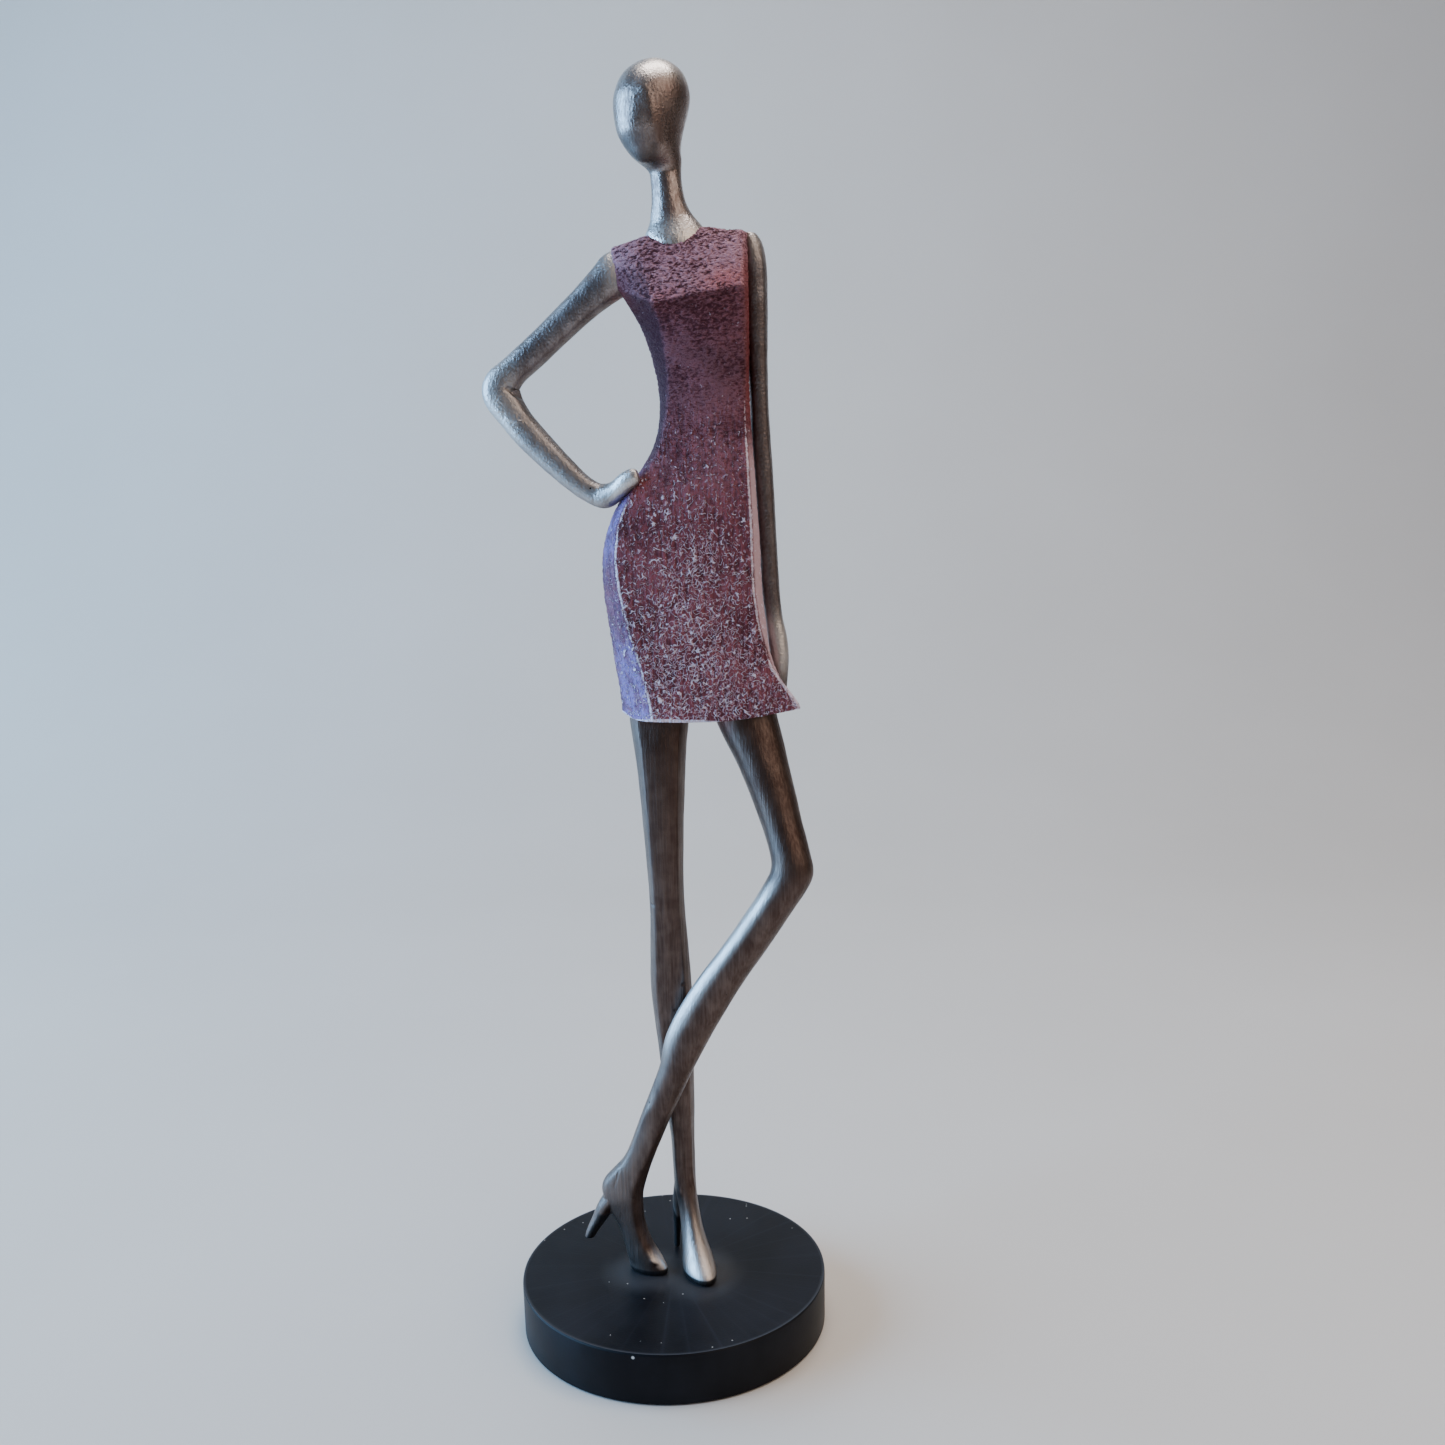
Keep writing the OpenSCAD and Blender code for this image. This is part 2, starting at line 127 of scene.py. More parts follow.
def addRing(piece, sides, centre, side, depth, halfWidth, halfDepth, ridge=0.0):
    # one cross-section; ridge pulls its four corners out into a carved, boxy section
    turn = Matrix((side, depth, side.cross(depth))).transposed()
    own = dict(orient_type="LOCAL", orient_matrix=turn, orient_matrix_type="LOCAL",
               center_override=centre)
    bpy.ops.mesh.primitive_circle_add(vertices=sides, radius=1, fill_type="NOTHING",
                                      location=centre, rotation=turn.to_euler())
    bpy.ops.transform.resize(value=(halfWidth, halfDepth, 1), **own)
    if ridge:
        shape = bmesh.from_edit_mesh(piece.data)
        for vert in shape.verts:
            if vert.select:
                across = (vert.co - centre).dot(side) / halfWidth
                vert.select = bool(0.4 < abs(across) < 0.9)
        shape.select_flush_mode()
        bpy.ops.transform.resize(value=(1 - ridge, 1 + 1.6 * ridge, 1), **own)
        if ridge > 0.04:
            bpy.ops.object.vertex_group_assign()


def skinRings(crease=0.0):
    # joins the open piece's rings from end to end, closes the ends and sharpens the ridges
    bpy.ops.mesh.select_all(action="SELECT")
    bpy.ops.mesh.bridge_edge_loops()
    bpy.ops.mesh.select_all(action="DESELECT")
    bpy.ops.mesh.select_non_manifold()
    bpy.ops.mesh.edge_face_add()
    bpy.ops.mesh.select_all(action="SELECT")
    bpy.ops.mesh.normals_make_consistent(inside=False)
    if crease:
        bpy.ops.mesh.select_all(action="DESELECT")
        bpy.ops.object.vertex_group_select()
        bpy.ops.transform.edge_crease(value=crease)
    bpy.ops.object.mode_set(mode="OBJECT")


def only(piece):
    deselect()
    piece.select_set(True)
    bpy.context.view_layer.objects.active = piece


def modify(piece, kind, **settings):
    only(piece)
    change = piece.modifiers.new(kind.lower(), kind)
    for name, value in settings.items():
        setattr(change, name, value)
    bpy.ops.object.modifier_apply(modifier=change.name)


def selectBy(piece, kind, rule):
    # in edit mode, selects the faces, edges or vertices that the rule picks
    bpy.ops.mesh.select_mode(type=kind)
    bpy.ops.mesh.select_all(action="DESELECT")
    shape = bmesh.from_edit_mesh(piece.data)
    for element in {"VERT": shape.verts, "EDGE": shape.edges, "FACE": shape.faces}[kind]:
        element.select = bool(rule(element))
    shape.select_flush_mode()
    bmesh.update_edit_mesh(piece.data)


def refine(piece, levels):
    modify(piece, "SUBSURF", levels=levels, render_levels=levels)


def points(piece):
    flat = np.empty(len(piece.data.vertices) * 3)
    piece.data.vertices.foreach_get("co", flat)
    return flat.reshape(-1, 3)


def normals(piece):
    flat = np.empty(len(piece.data.vertices) * 3)
    piece.data.vertices.foreach_get("normal", flat)
    return flat.reshape(-1, 3)


def figurePoints(piece):
    # the piece's vertices as x, y, h in mm, as the stations are given
    return (points(piece) - np.array(spot(0, 0, 0))) / (mm * figureScale)


def awayFrom(piece, x, y, h):
    # how many mm each vertex is from a point of the figure
    return np.linalg.norm(points(piece) - np.array(spot(x, y, h)), axis=1) / mm


def setPoints(piece, moved):
    piece.data.vertices.foreach_set("co", moved.ravel())
    piece.data.update()


def mark(piece, name, values):
    # a painted mask, or a direction, that the materials read
    values = np.asarray(values, np.float32)
    kind, key = ("FLOAT", "value") if values.ndim == 1 else ("FLOAT_VECTOR", "vector")
    layer = piece.data.attributes.new(name, kind, "POINT")
    layer.data.foreach_set(key, values.ravel())


def markFlow(piece, line):
    # where each vertex is across the limb, and how far along it, for brushed streaks
    here = points(piece)
    _, along = nearLine(here, [spot(*p) for p in line])
    mark(piece, "flow", np.column_stack([here[:, 0], here[:, 1], along]))


def roughen(piece, size, height):
    # raises and lowers the surface by a solid pattern of that grain
    pattern = bpy.data.textures.new(piece.name + "Relief", "CLOUDS")
    pattern.noise_scale = size
    pattern.noise_depth = 1
    modify(piece, "DISPLACE", texture=pattern, texture_coords="LOCAL", strength=height,
           mid_level=0.5)


def grab(piece, centre, radius, shift):
    # pulls the surface near a point, as with a soft brush
    held = np.exp(-2 * (awayFrom(piece, *centre) / radius) ** 2)
    setPoints(piece, points(piece) + held[:, None] * np.array(shift) * mm)


def score(piece, line, width, height):
    # a groove, or with a positive height a seam, along a line of (x, h) on the front
    gap, _ = nearLine(figurePoints(piece)[:, [0, 2]], line)
    amount = height * mm * rise(-normals(piece)[:, 1], -0.2, 0.2) * fade(gap, width)
    setPoints(piece, points(piece) + normals(piece) * amount[:, None])


def finishPiece(piece, body, slotName, material, *nodes):
    piece.data.materials.clear()
    piece.data.materials.append(material)
    only(piece)
    bpy.ops.object.transform_apply(location=True, rotation=True, scale=True)
    bpy.ops.object.shade_smooth()
    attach(piece, body)
    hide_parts(*nodes)
    print("made", piece.name, len(piece.data.polygons), "faces")


# Helpers for materials

def feed(tree, node, feeds):
    for socket, value in feeds.items():
        if isinstance(value, bpy.types.NodeSocket):
            tree.links.new(value, node.inputs[socket])
        else:
            node.inputs[socket].default_value = value


def place(tree, kind, feeds, **settings):
    made = tree.nodes.new("ShaderNode" + kind)
    for name, value in settings.items():
        setattr(made, name, value)
    feed(tree, made, feeds)
    return made


def count(tree, operation, *values):
    return place(tree, "Math", dict(enumerate(values)), operation=operation).outputs[0]


def times(tree, first, second):
    return count(tree, "MULTIPLY", first, second)


def plus(tree, first, second):
    return count(tree, "ADD", first, second)


def minus(tree, first, second):
    return count(tree, "SUBTRACT", first, second)


def blend(tree, factor, first, second):
    feeds = {0: factor, 6: first, 7: second}
    return place(tree, "Mix", feeds, data_type="RGBA").outputs[2]


def between(tree, value, low, high, start=0.0, end=1.0):
    feeds = {"Value": value, "From Min": low, "From Max": high, "To Min": start, "To Max": end}
    return place(tree, "MapRange", feeds, interpolation_type="SMOOTHSTEP").outputs[0]


def noise(tree, where, scale, detail=2.0, **more):
    feeds = {"Vector": where, "Scale": scale, "Detail": detail, **more}
    return place(tree, "TexNoise", feeds).outputs[0]


def scaled(tree, where, factors):
    feeds = {0: where, 1: factors}
    return place(tree, "VectorMath", feeds, operation="MULTIPLY").outputs[0]


def painted(tree, name, output="Fac"):
    return place(tree, "Attribute", {}, attribute_name=name).outputs[output]


def newGroup(name, inputs, outputs):
    # a shared effect with named sockets; an input without a value is a vector
    group = bpy.data.node_groups.new(name, "ShaderNodeTree")
    for socket, value in inputs.items():
        kind = "NodeSocketVector" if value is None else "NodeSocketFloat"
        made = group.interface.new_socket(socket, in_out="INPUT", socket_type=kind)
        if value is not None:
            made.default_value = value
    for socket in outputs:
        group.interface.new_socket(socket, in_out="OUTPUT", socket_type="NodeSocketFloat")
    return group, group.nodes.new("NodeGroupInput").outputs, group.nodes.new("NodeGroupOutput")


def useGroup(tree, group, feeds):
    return place(tree, "Group", feeds, node_tree=group).outputs


def bumped(tree, height, strength, distance):
    feeds = {"Height": height, "Strength": strength, "Distance": distance}
    return place(tree, "Bump", feeds).outputs[0]


def newMaterial(name):
    # the material, its nodes, its shader and the place on the object
    material = bpy.data.materials.new(name)
    material.use_nodes = True
    tree = material.node_tree
    where = place(tree, "TexCoord", {}).outputs["Object"]
    return material, tree, tree.nodes["Principled BSDF"], where


# Shared effects

def makeStreaks():
    # long brush marks that run along a limb
    group, enter, leave = newGroup(
        "brushStreaks", {"Flow": None, "Scale": 900.0, "Stretch": 0.05}, ["Streaks", "Clouds"])
    thin = place(group, "CombineXYZ", {"X": 1.0, "Y": 1.0, "Z": enter["Stretch"]})
    drawn = scaled(group, enter["Flow"], thin.outputs[0])
    fine = noise(group, drawn, enter["Scale"], 3.0)
    wide = noise(group, drawn, times(group, enter["Scale"], 0.22), 2.0)
    both = plus(group, times(group, fine, 0.6), times(group, wide, 0.4))
    cloudy = noise(group, enter["Flow"], times(group, enter["Scale"], 0.12), 3.0)
    feed(group, leave, {"Streaks": between(group, both, 0.32, 0.68),
                        "Clouds": between(group, cloudy, 0.35, 0.68)})
    return group


def makeFlecks():
    # short crooked flecks, as a dry brush leaves on raised worm-like ridges
    group, enter, leave = newGroup(
        "dryBrushFlecks", {"Vector": None, "Scale": 500.0, "Width": 0.035, "Cover": 0.5},
        ["Mask", "Height"])
    where, scale = enter["Vector"], enter["Scale"]
    field = noise(group, where, scale, 0.0, Distortion=0.7)
    line = count(group, "ABSOLUTE", minus(group, field, 0.5))
    thin = between(group, line, enter["Width"], 0.0)
    broken = noise(group, where, times(group, scale, 1.1), 1.0)
    level = minus(group, 0.70, times(group, enter["Cover"], 0.40))
    kept = between(group, minus(group, broken, level), 0.0, 0.09)
    ridge = times(group, between(group, line, 0.12, 0.0), between(group, broken, 0.38, 0.6))
    feed(group, leave, {"Mask": times(group, thin, kept), "Height": ridge})
    return group


def makeSpecks():
    # single grains of dust, or pinholes
    group, enter, leave = newGroup(
        "specks", {"Vector": None, "Scale": 200.0, "Size": 0.08, "Share": 0.1}, ["Mask"])
    cells = place(group, "TexVoronoi", {name: enter[name] for name in ("Vector", "Scale")})
    inside = count(group, "LESS_THAN", cells.outputs["Distance"], enter["Size"])
    shade = place(group, "SeparateColor", {"Color": cells.outputs["Color"]})
    chosen = count(group, "LESS_THAN", shade.outputs[0], enter["Share"])
    feed(group, leave, {"Mask": times(group, inside, chosen)})
    return group


brushStreaks = makeStreaks()
dryBrushFlecks = makeFlecks()
specks = makeSpecks()


# Materials

def makeMetalPaint(name, look):
    # rubbed metallic paint over a dark ground, on cast resin
    material, tree, skin, where = newMaterial(name)
    flow = painted(tree, "flow", "Vector")
    strokes = useGroup(tree, brushStreaks, {"Flow": flow, "Scale": look["streakScale"],
                                            "Stretch": look["stretch"]})
    rubbed = plus(tree, times(tree, strokes["Streaks"], 0.5), times(tree, strokes["Clouds"], 0.35))
    colour = blend(tree, rubbed, look["ground"], look["metal"])
    # painted highlight: a light colour laid on where the highlight mask is set
    colour = blend(tree, times(tree, painted(tree, "paintedHighlight"), 0.85), colour, look["paintedHighlight"])
    # painted shade: towards the dark ground colour where the shade mask is set
    shadeMix = times(tree, painted(tree, "paintedShade"), look["shadeStrength"])
    colour = blend(tree, shadeMix, colour, look["ground"])
    colour = blend(tree, times(tree, painted(tree, "blush"), 0.75), colour, look["blush"])
    pits = useGroup(tree, specks, {"Vector": where, "Scale": 160.0, "Size": 0.045, "Share": 0.12})
    colour = blend(tree, pits["Mask"], colour, look["pit"])
    # black paint on the soles and heels, and painted shade under the chin and on the standing leg's
    # shadowed inner side
    colour = blend(tree, painted(tree, "black"), colour, look["sole"])
    grain = noise(tree, where, look["grainScale"], 2.0)
    rough = plus(tree, times(tree, grain, 0.5), times(tree, strokes["Streaks"], 0.5))
    rough = between(tree, rough, 0.3, 0.7, look["roughness"] + 0.1, look["roughness"] - 0.06)
    height = times(tree, strokes["Streaks"], look["streaks"])
    height = plus(tree, times(tree, grain, look["grain"]), height)
    height = minus(tree, height, times(tree, pits["Mask"], 1.5))
    metallic = times(tree, minus(tree, 1.0, painted(tree, "black")), look["metallic"])
    feed(tree, skin, {"Base Color": colour, "Roughness": rough, "Metallic": metallic,
                      "Normal": bumped(tree, height, 0.5, 0.00025)})
    return material


legLook = {
    "ground": (0.060, 0.036, 0.030, 1),
    "metal": (0.140, 0.102, 0.088, 1),
    # the light colour of the painted highlights
    "paintedHighlight": (0.74, 0.70, 0.67, 1),
    "blush": (0.16, 0.035, 0.03, 1),  # the dress's paint, strayed onto the skin
    "pit": (0.01, 0.008, 0.008, 1),
    "sole": (0.008, 0.008, 0.009, 1),
    # how strongly the painted shade darkens the colour
    "shadeStrength": 0.7,
    "metallic": 0.85,
    "roughness": 0.36,
    "streakScale": 1700.0,
    "stretch": 0.03,
    "grainScale": 2600.0,
    "grain": 0.5,
    "streaks": 0.5,
}
armLook = dict(legLook, ground=(0.11, 0.085, 0.080, 1), metal=(0.31, 0.29, 0.30, 1),
               paintedHighlight=(0.72, 0.70, 0.68, 1), stretch=0.5, grainScale=1300.0, grain=1.8,
               streaks=0.2, roughness=0.36)
headLook = dict(legLook, ground=(0.15, 0.105, 0.095, 1), metal=(0.54, 0.49, 0.47, 1),
                paintedHighlight=(0.78, 0.75, 0.72, 1), stretch=0.35, grainScale=1400.0, grain=0.9,
                streaks=0.35, roughness=0.27, shadeStrength=0.85)


def makeDressPaint():
    # carved texture: dark wine ground, rose on the ridges, white lilac dry-brushed on top
    look = {
        "crevice": (0.075, 0.018, 0.028, 1),
        "wine": (0.225, 0.060, 0.078, 1),
        "plum": (0.062, 0.016, 0.028, 1),
        "rose": (0.50, 0.25, 0.31, 1),
        "lilac": (0.25, 0.17, 0.46, 1),
        "chalk": (0.80, 0.70, 0.84, 1),
        "blush": (0.24, 0.045, 0.045, 1),
        "strip": (0.60, 0.42, 0.46, 1),
        "salmon": (0.62, 0.17, 0.17, 1),
        "dusk": (0.52, 0.36, 0.44, 1),
    }
    material, tree, skin, where = newMaterial("carvedDressPaint")
    relief, bodice = painted(tree, "relief"), painted(tree, "bodice")
    patches = between(tree, noise(tree, where, 70.0, 3.0), 0.38, 0.64)
    # a short-stroke grain: level on the bodice, fine upright ribs on the skirt
    levelGrain = noise(tree, scaled(tree, where, (1.0, 1.0, 2.2)), 1050.0, 4.0, Distortion=0.8)
    ribs = noise(tree, scaled(tree, where, (1.0, 1.0, 0.12)), 1150.0, 1.0)
    grain = place(tree, "Mix", {0: bodice, 2: ribs, 3: levelGrain}).outputs[0]
    raised = plus(tree, times(tree, relief, 0.3), times(tree, grain, 0.6))
    colour = blend(tree, between(tree, raised, 0.25, 0.62), look["crevice"], look["wine"])
    colour = blend(tree, times(tree, patches, times(tree, bodice, 0.7)), colour, look["plum"])
    # painted shade: plum where the upper left side panel's shade mask is set
    colour = blend(tree, painted(tree, "plum"), colour, look["plum"])
    ridges = between(tree, plus(tree, levelGrain, times(tree, relief, 0.5)), 0.52, 0.82)
    colour = blend(tree, times(tree, ridges, painted(tree, "yoke")), colour, look["rose"])
    colour = blend(tree, times(tree, ridges, painted(tree, "salmon")), colour, look["salmon"])
    clouded = between(tree, noise(tree, where, 260.0, 3.0), 0.36, 0.6, 0.35, 1.0)
    # painted light: the window's bluish lilac laid on the left side panel
    colour = blend(tree, times(tree, painted(tree, "windowLitFlank"), clouded), colour, look["lilac"])
    colour = blend(tree, painted(tree, "blush"), colour, look["blush"])
    colour = blend(tree, painted(tree, "strip"), colour, look["strip"])
    rub = painted(tree, "rub")
    worms = useGroup(tree, dryBrushFlecks, {"Vector": where, "Scale": 560.0, "Width": 0.052,
                                            "Cover": rub})
    small = useGroup(tree, dryBrushFlecks, {"Vector": scaled(tree, where, (1.0, 1.0, 0.8)),
                                            "Scale": 950.0, "Width": 0.08,
                                            "Cover": times(tree, rub, 1.25)})
    colour = blend(tree, times(tree, small["Mask"], 0.85), colour, look["dusk"])
    rubbed = plus(tree, painted(tree, "edge"), times(tree, levelGrain, 0.9))
    rubbed = between(tree, rubbed, 0.85, 1.15)
    flecks = count(tree, "MAXIMUM", worms["Mask"], rubbed)
    colour = blend(tree, times(tree, flecks, 0.9), colour, look["chalk"])
    height = plus(tree, worms["Height"], times(tree, small["Height"], 0.5))
    height = plus(tree, height, times(tree, ribs, 0.9))
    height = place(tree, "Mix", {0: bodice, 2: height, 3: times(tree, levelGrain, 3.0)}).outputs[0]
    height = times(tree, height, minus(tree, 1.0, painted(tree, "strip")))
    feed(tree, skin, {"Base Color": colour, "Normal": bumped(tree, height, 1.0, 0.0005),
                      "Roughness": between(tree, raised, 0.3, 0.7, 0.62, 0.46),
                      "Specular IOR Level": 0.2})
    return material


def makeBasePaint():
    # satin black paint with dust, glue smeared round the soles, a painted highlight along the rim and a
    # painted bluish sheen in radial streaks on the top
    # the lighter bluish colour is mottled in as dust and streaked on the top as painted sheen, and the
    # rim colour is a painted highlight
    look = {"black": (0.0016, 0.0018, 0.0036, 1), "dustAndSheen": (0.024, 0.026, 0.036, 1),
            "glue": (0.040, 0.040, 0.044, 1), "grain": (0.45, 0.43, 0.4, 1),
            "rim": (0.05, 0.052, 0.06, 1), "chip": (0.6, 0.58, 0.55, 1)}
    material, tree, skin, where = newMaterial("satinBlackPaint")
    mottled = between(tree, noise(tree, where, 45.0, 4.0), 0.35, 0.7)
    apart = place(tree, "SeparateXYZ", {0: where})
    # painted sheen: lighter bluish radial streaks on the top
    turned = count(tree, "ARCTAN2", apart.outputs["Y"], apart.outputs["X"])
    sheenStreaks = noise(tree, place(tree, "CombineXYZ", {"X": turned}).outputs[0], 14.0, 3.0)
    sheenStreaks = times(tree, between(tree, sheenStreaks, 0.52, 0.72), times(tree, painted(tree, "top"), 0.35))
    colour = blend(tree, plus(tree, times(tree, mottled, 0.22), times(tree, sheenStreaks, 0.9)),
                   look["black"], look["dustAndSheen"])
    colour = blend(tree, times(tree, painted(tree, "glue"), 0.9), colour, look["glue"])
    # painted highlight: a lighter line along the rounded rim
    colour = blend(tree, painted(tree, "rim"), colour, look["rim"])
    chipAt = (-0.0109, -0.0486, baseHigh.z - 0.0013)
    away = place(tree, "VectorMath", {0: where, 1: chipAt}, operation="DISTANCE")
    chip = between(tree, away.outputs["Value"], 0.0005, 0.0008, 0.9, 0.0)
    colour = blend(tree, chip, colour, look["chip"])
    dust = useGroup(tree, specks, {"Vector": where, "Scale": 330.0, "Size": 0.075, "Share": 0.2})
    colour = blend(tree, times(tree, dust["Mask"], painted(tree, "top")), colour, look["grain"])
    fine = noise(tree, where, 1400.0, 2.0)
    rough = between(tree, plus(tree, times(tree, mottled, 0.5), sheenStreaks), 0.0, 1.0, 0.40, 0.5)
    feed(tree, skin, {"Base Color": colour, "Roughness": rough, "Specular IOR Level": 0.14,
                      "Normal": bumped(tree, plus(tree, fine, dust["Mask"]), 0.12, 0.0002)})
    return material


def makeFelt():
    material, tree, skin, where = newMaterial("blackFelt")
    hairs = noise(tree, where, 2400.0, 5.0, Distortion=1.5)
    matted = noise(tree, where, 300.0, 3.0)
    colour = blend(tree, times(tree, hairs, matted), (0.010, 0.010, 0.011, 1), (0.07, 0.07, 0.072, 1))
    feed(tree, skin, {"Base Color": colour, "Normal": bumped(tree, hairs, 0.8, 0.0003),
                      "Roughness": between(tree, matted, 0.3, 0.7, 0.85, 0.98)})
    return material


def makeSteel():
    # bright drawn wire and zinc-plated fixings
    material, tree, skin, where = newMaterial("drawnSteel")
    drawn = noise(tree, scaled(tree, where, (1.0, 1.0, 0.03)), 3500.0, 3.0)
    bloom = noise(tree, where, 180.0, 4.0)
    colour = blend(tree, between(tree, bloom, 0.4, 0.7), (0.60, 0.61, 0.63, 1), (0.42, 0.41, 0.40, 1))
    colour = blend(tree, times(tree, drawn, 0.3), colour, (0.2, 0.2, 0.21, 1))
    feed(tree, skin, {"Base Color": colour, "Metallic": 1.0,
                      "Normal": bumped(tree, drawn, 0.15, 0.0001),
                      "Roughness": between(tree, drawn, 0.3, 0.7, 0.24, 0.42)})
    return material


legPaint = makeMetalPaint("darkBronzePaint", legLook)
armPaint = makeMetalPaint("pewterPaint", armLook)
headPaint = makeMetalPaint("champagnePaint", headLook)
dressPaint = makeDressPaint()
basePaint = makeBasePaint()
felt = makeFelt()
drawnSteel = makeSteel()
print("materials made")


# The limbs: level slices [x, y, h, half width, half depth, turn, ridge] in mm

standingLeg = {
    "slices": [
        [8.4, -5.4, 0, 4.2, 7.9, 20, 0], [8.5, -5.4, 1.2, 4.9, 8.8, 20, 0],
        [8.3, -4.6, 3.5, 5.0, 8.4, 20, 0], [7.8, -3.0, 6.5, 4.6, 6.8, 20, 0],
        [6.8, -0.8, 10.5, 3.9, 5.6, 19, 0.01], [5.9, 1.6, 15, 3.4, 5.2, 16, 0.02],
        [5.0, 3.9, 20, 3.3, 5.2, 13, 0.03], [4.2, 5.2, 26, 3.6, 4.9, 10, 0.05],
        [4.0, 5.8, 33, 3.7, 4.3, 0, 0.08], [3.8, 5.4, 43, 3.9, 4.2, 0, 0.11],
        [3.2, 4.4, 58, 4.8, 4.8, 0, 0.13], [2.6, 3.2, 74, 5.7, 5.3, 0, 0.13],
        [1.7, 1.4, 94, 6.6, 5.7, 0, 0.13], [1.4, 0.2, 111, 6.0, 5.6, 0, 0.13],
        [1.1, -0.6, 124, 5.5, 5.7, 0, 0.13], [0.8, -0.8, 140, 6.0, 6.2, 0, 0.13],
        [0.6, -0.4, 158, 7.0, 7.0, 0, 0.13], [0.4, 0.4, 172, 8.1, 7.4, 0, 0.13],
        [0.3, 0.9, 181, 9.2, 6.8, 0, 0.12], [0.3, 1, 185.5, 9.3, 6.7, 0, 0.12]],
    "heel": [
        [0.6, 12.4, 0, 1.0, 1.2, 15, 0], [0.8, 12.0, 6, 1.1, 1.3, 15, 0],
        [1.4, 10.9, 13, 1.7, 1.9, 15, 0], [2.3, 9.0, 19, 2.6, 2.8, 15, 0],
        [3.4, 6.8, 25, 3.1, 3.4, 10, 0], [3.9, 6.0, 30, 2.9, 3.0, 0, 0]],
    "line": [(8, -8, 0), (5.9, 1.6, 15), (4.0, 5.8, 33), (2.6, 3.2, 74), (1.1, -0.6, 124),
             (0.3, 1, 186)],
    "crease": 0.55,
    "pits": [(-3.4, 124.0), (-4.2, 119.8), (5.6, 97.8), (2.8, 89.0)],
}
crossedLeg = {
    "slices": [
        [-8.1, -2.4, 0, 6.0, 3.1, -22, 0], [-8.1, -2.4, 1.2, 6.7, 3.7, -22, 0],
        [-8.8, -2.2, 4, 6.2, 3.8, -22, 0.05], [-10.6, -1.7, 8, 5.0, 3.7, -23, 0.08],
        [-12.0, -1.4, 12, 4.5, 3.5, -24, 0.10], [-13.4, -1.3, 16.5, 4.7, 3.5, -24, 0.11],
        [-15.1, -1.4, 22, 6.1, 3.6, -22, 0.12], [-16.0, -1.6, 27.5, 7.2, 3.8, -20, 0.12],
        [-14.8, -2.0, 32, 7.0, 3.9, -18, 0.12], [-12.2, -2.6, 36.5, 5.7, 4.0, -16, 0.11],
        [-9.6, -3.2, 41, 4.8, 4.0, -14, 0.10], [-5.2, -4.4, 52, 4.9, 4.2, -12, 0.07],
        [-0.6, -5.9, 63, 5.3, 4.5, -10, 0.04], [3.3, -7.5, 72.5, 5.7, 4.7, -8, 0.02],
        [7.2, -8.3, 83, 7.3, 4.9, -6, 0.01], [15.0, -9.6, 97, 7.6, 5.1, -4, 0.01],
        [25.4, -11.2, 112, 7.3, 5.3, 0, 0.01], [33.4, -12.6, 124, 7.1, 5.5, 0, 0.02],
        [38.8, -13.2, 132.5, 7.1, 5.7, 0, 0.03], [40.2, -12.8, 137, 6.5, 5.9, 0, 0.03],
        [39.5, -11.6, 142, 6.2, 6.2, 0, 0.03], [37.1, -8.6, 151, 6.5, 6.5, 0, 0.03],
        [32.4, -4.8, 167, 7.8, 7.2, 0, 0.03], [29.2, -2.2, 176, 9.1, 7.6, 0, 0.03],
        [27.2, -0.8, 182, 9.7, 7.8, 0, 0.03], [26.5, -0.6, 185.5, 9.8, 7.8, 0, 0.03]],
    "heel": [
        [-27.4, 0.6, 10.6, 1.5, 1.5, -50, 0.12], [-26.5, 0.5, 13, 1.9, 1.8, -50, 0.12],
        [-23.9, 0.2, 17.5, 2.6, 2.4, -48, 0.12], [-21.4, -0.4, 22.5, 3.2, 2.9, -35, 0.05],
        [-18.2, -1.0, 27, 3.6, 3.0, -15, 0], [-16.4, -1.6, 31, 2.6, 2.4, -10, 0]],
    "line": [(-3, -5, 0), (-12.0, -1.4, 12), (-15, -1.6, 28), (-5.2, -4.4, 52), (7.2, -8.3, 83),
             (25.4, -11.2, 112), (39.2, -12.8, 136), (32.4, -4.8, 167), (26.5, -0.6, 186)],
    "crease": 0.45,
    "crack": ([(-16.2, 38.3), (-17.2, 34.2), (-18.4, 30.6)], 0.3, -0.12),
}
straightArm = {
    "slices": [
        [38.4, 3.0, 188.5, 0.8, 1.0, 0, 0], [38.1, 3.2, 190.5, 2.0, 2.2, 0, 0],
        [37.9, 3.5, 195, 2.7, 3.0, 0, 0], [38.0, 3.9, 201, 3.0, 3.4, 0, 0],
        [37.4, 4.3, 207, 3.0, 3.3, 0, 0.03], [36.3, 4.6, 214, 2.7, 3.1, 0, 0.06],
        [35.6, 4.6, 223, 2.8, 3.2, 0, 0.08], [35.0, 4.4, 236, 2.8, 3.4, 0, 0.09],
        [34.4, 4.0, 250, 2.9, 3.6, 0, 0.09], [33.6, 3.6, 264, 3.0, 3.8, 0, 0.09],
        [33.2, 3.2, 275, 2.8, 3.8, 0, 0.09], [33.0, 2.8, 287, 2.9, 4.2, 0, 0.09],
        [32.6, 2.2, 300, 3.5, 4.8, 0, 0.09], [32.4, 1.6, 312, 3.8, 5.2, 0, 0.08],
        [32.0, 1.0, 319, 3.8, 5.2, 0, 0.05], [31.4, 0.6, 323.5, 3.3, 4.4, 0, 0],
        [30.8, 0.4, 326, 2.0, 3.0, 0, 0]],
    "line": [(38.4, 3, 188), (36.3, 4.6, 214), (33.6, 3.6, 264), (32.4, 1.6, 312), (30.8, 0.4, 327)],
    "crease": 0.3,
}
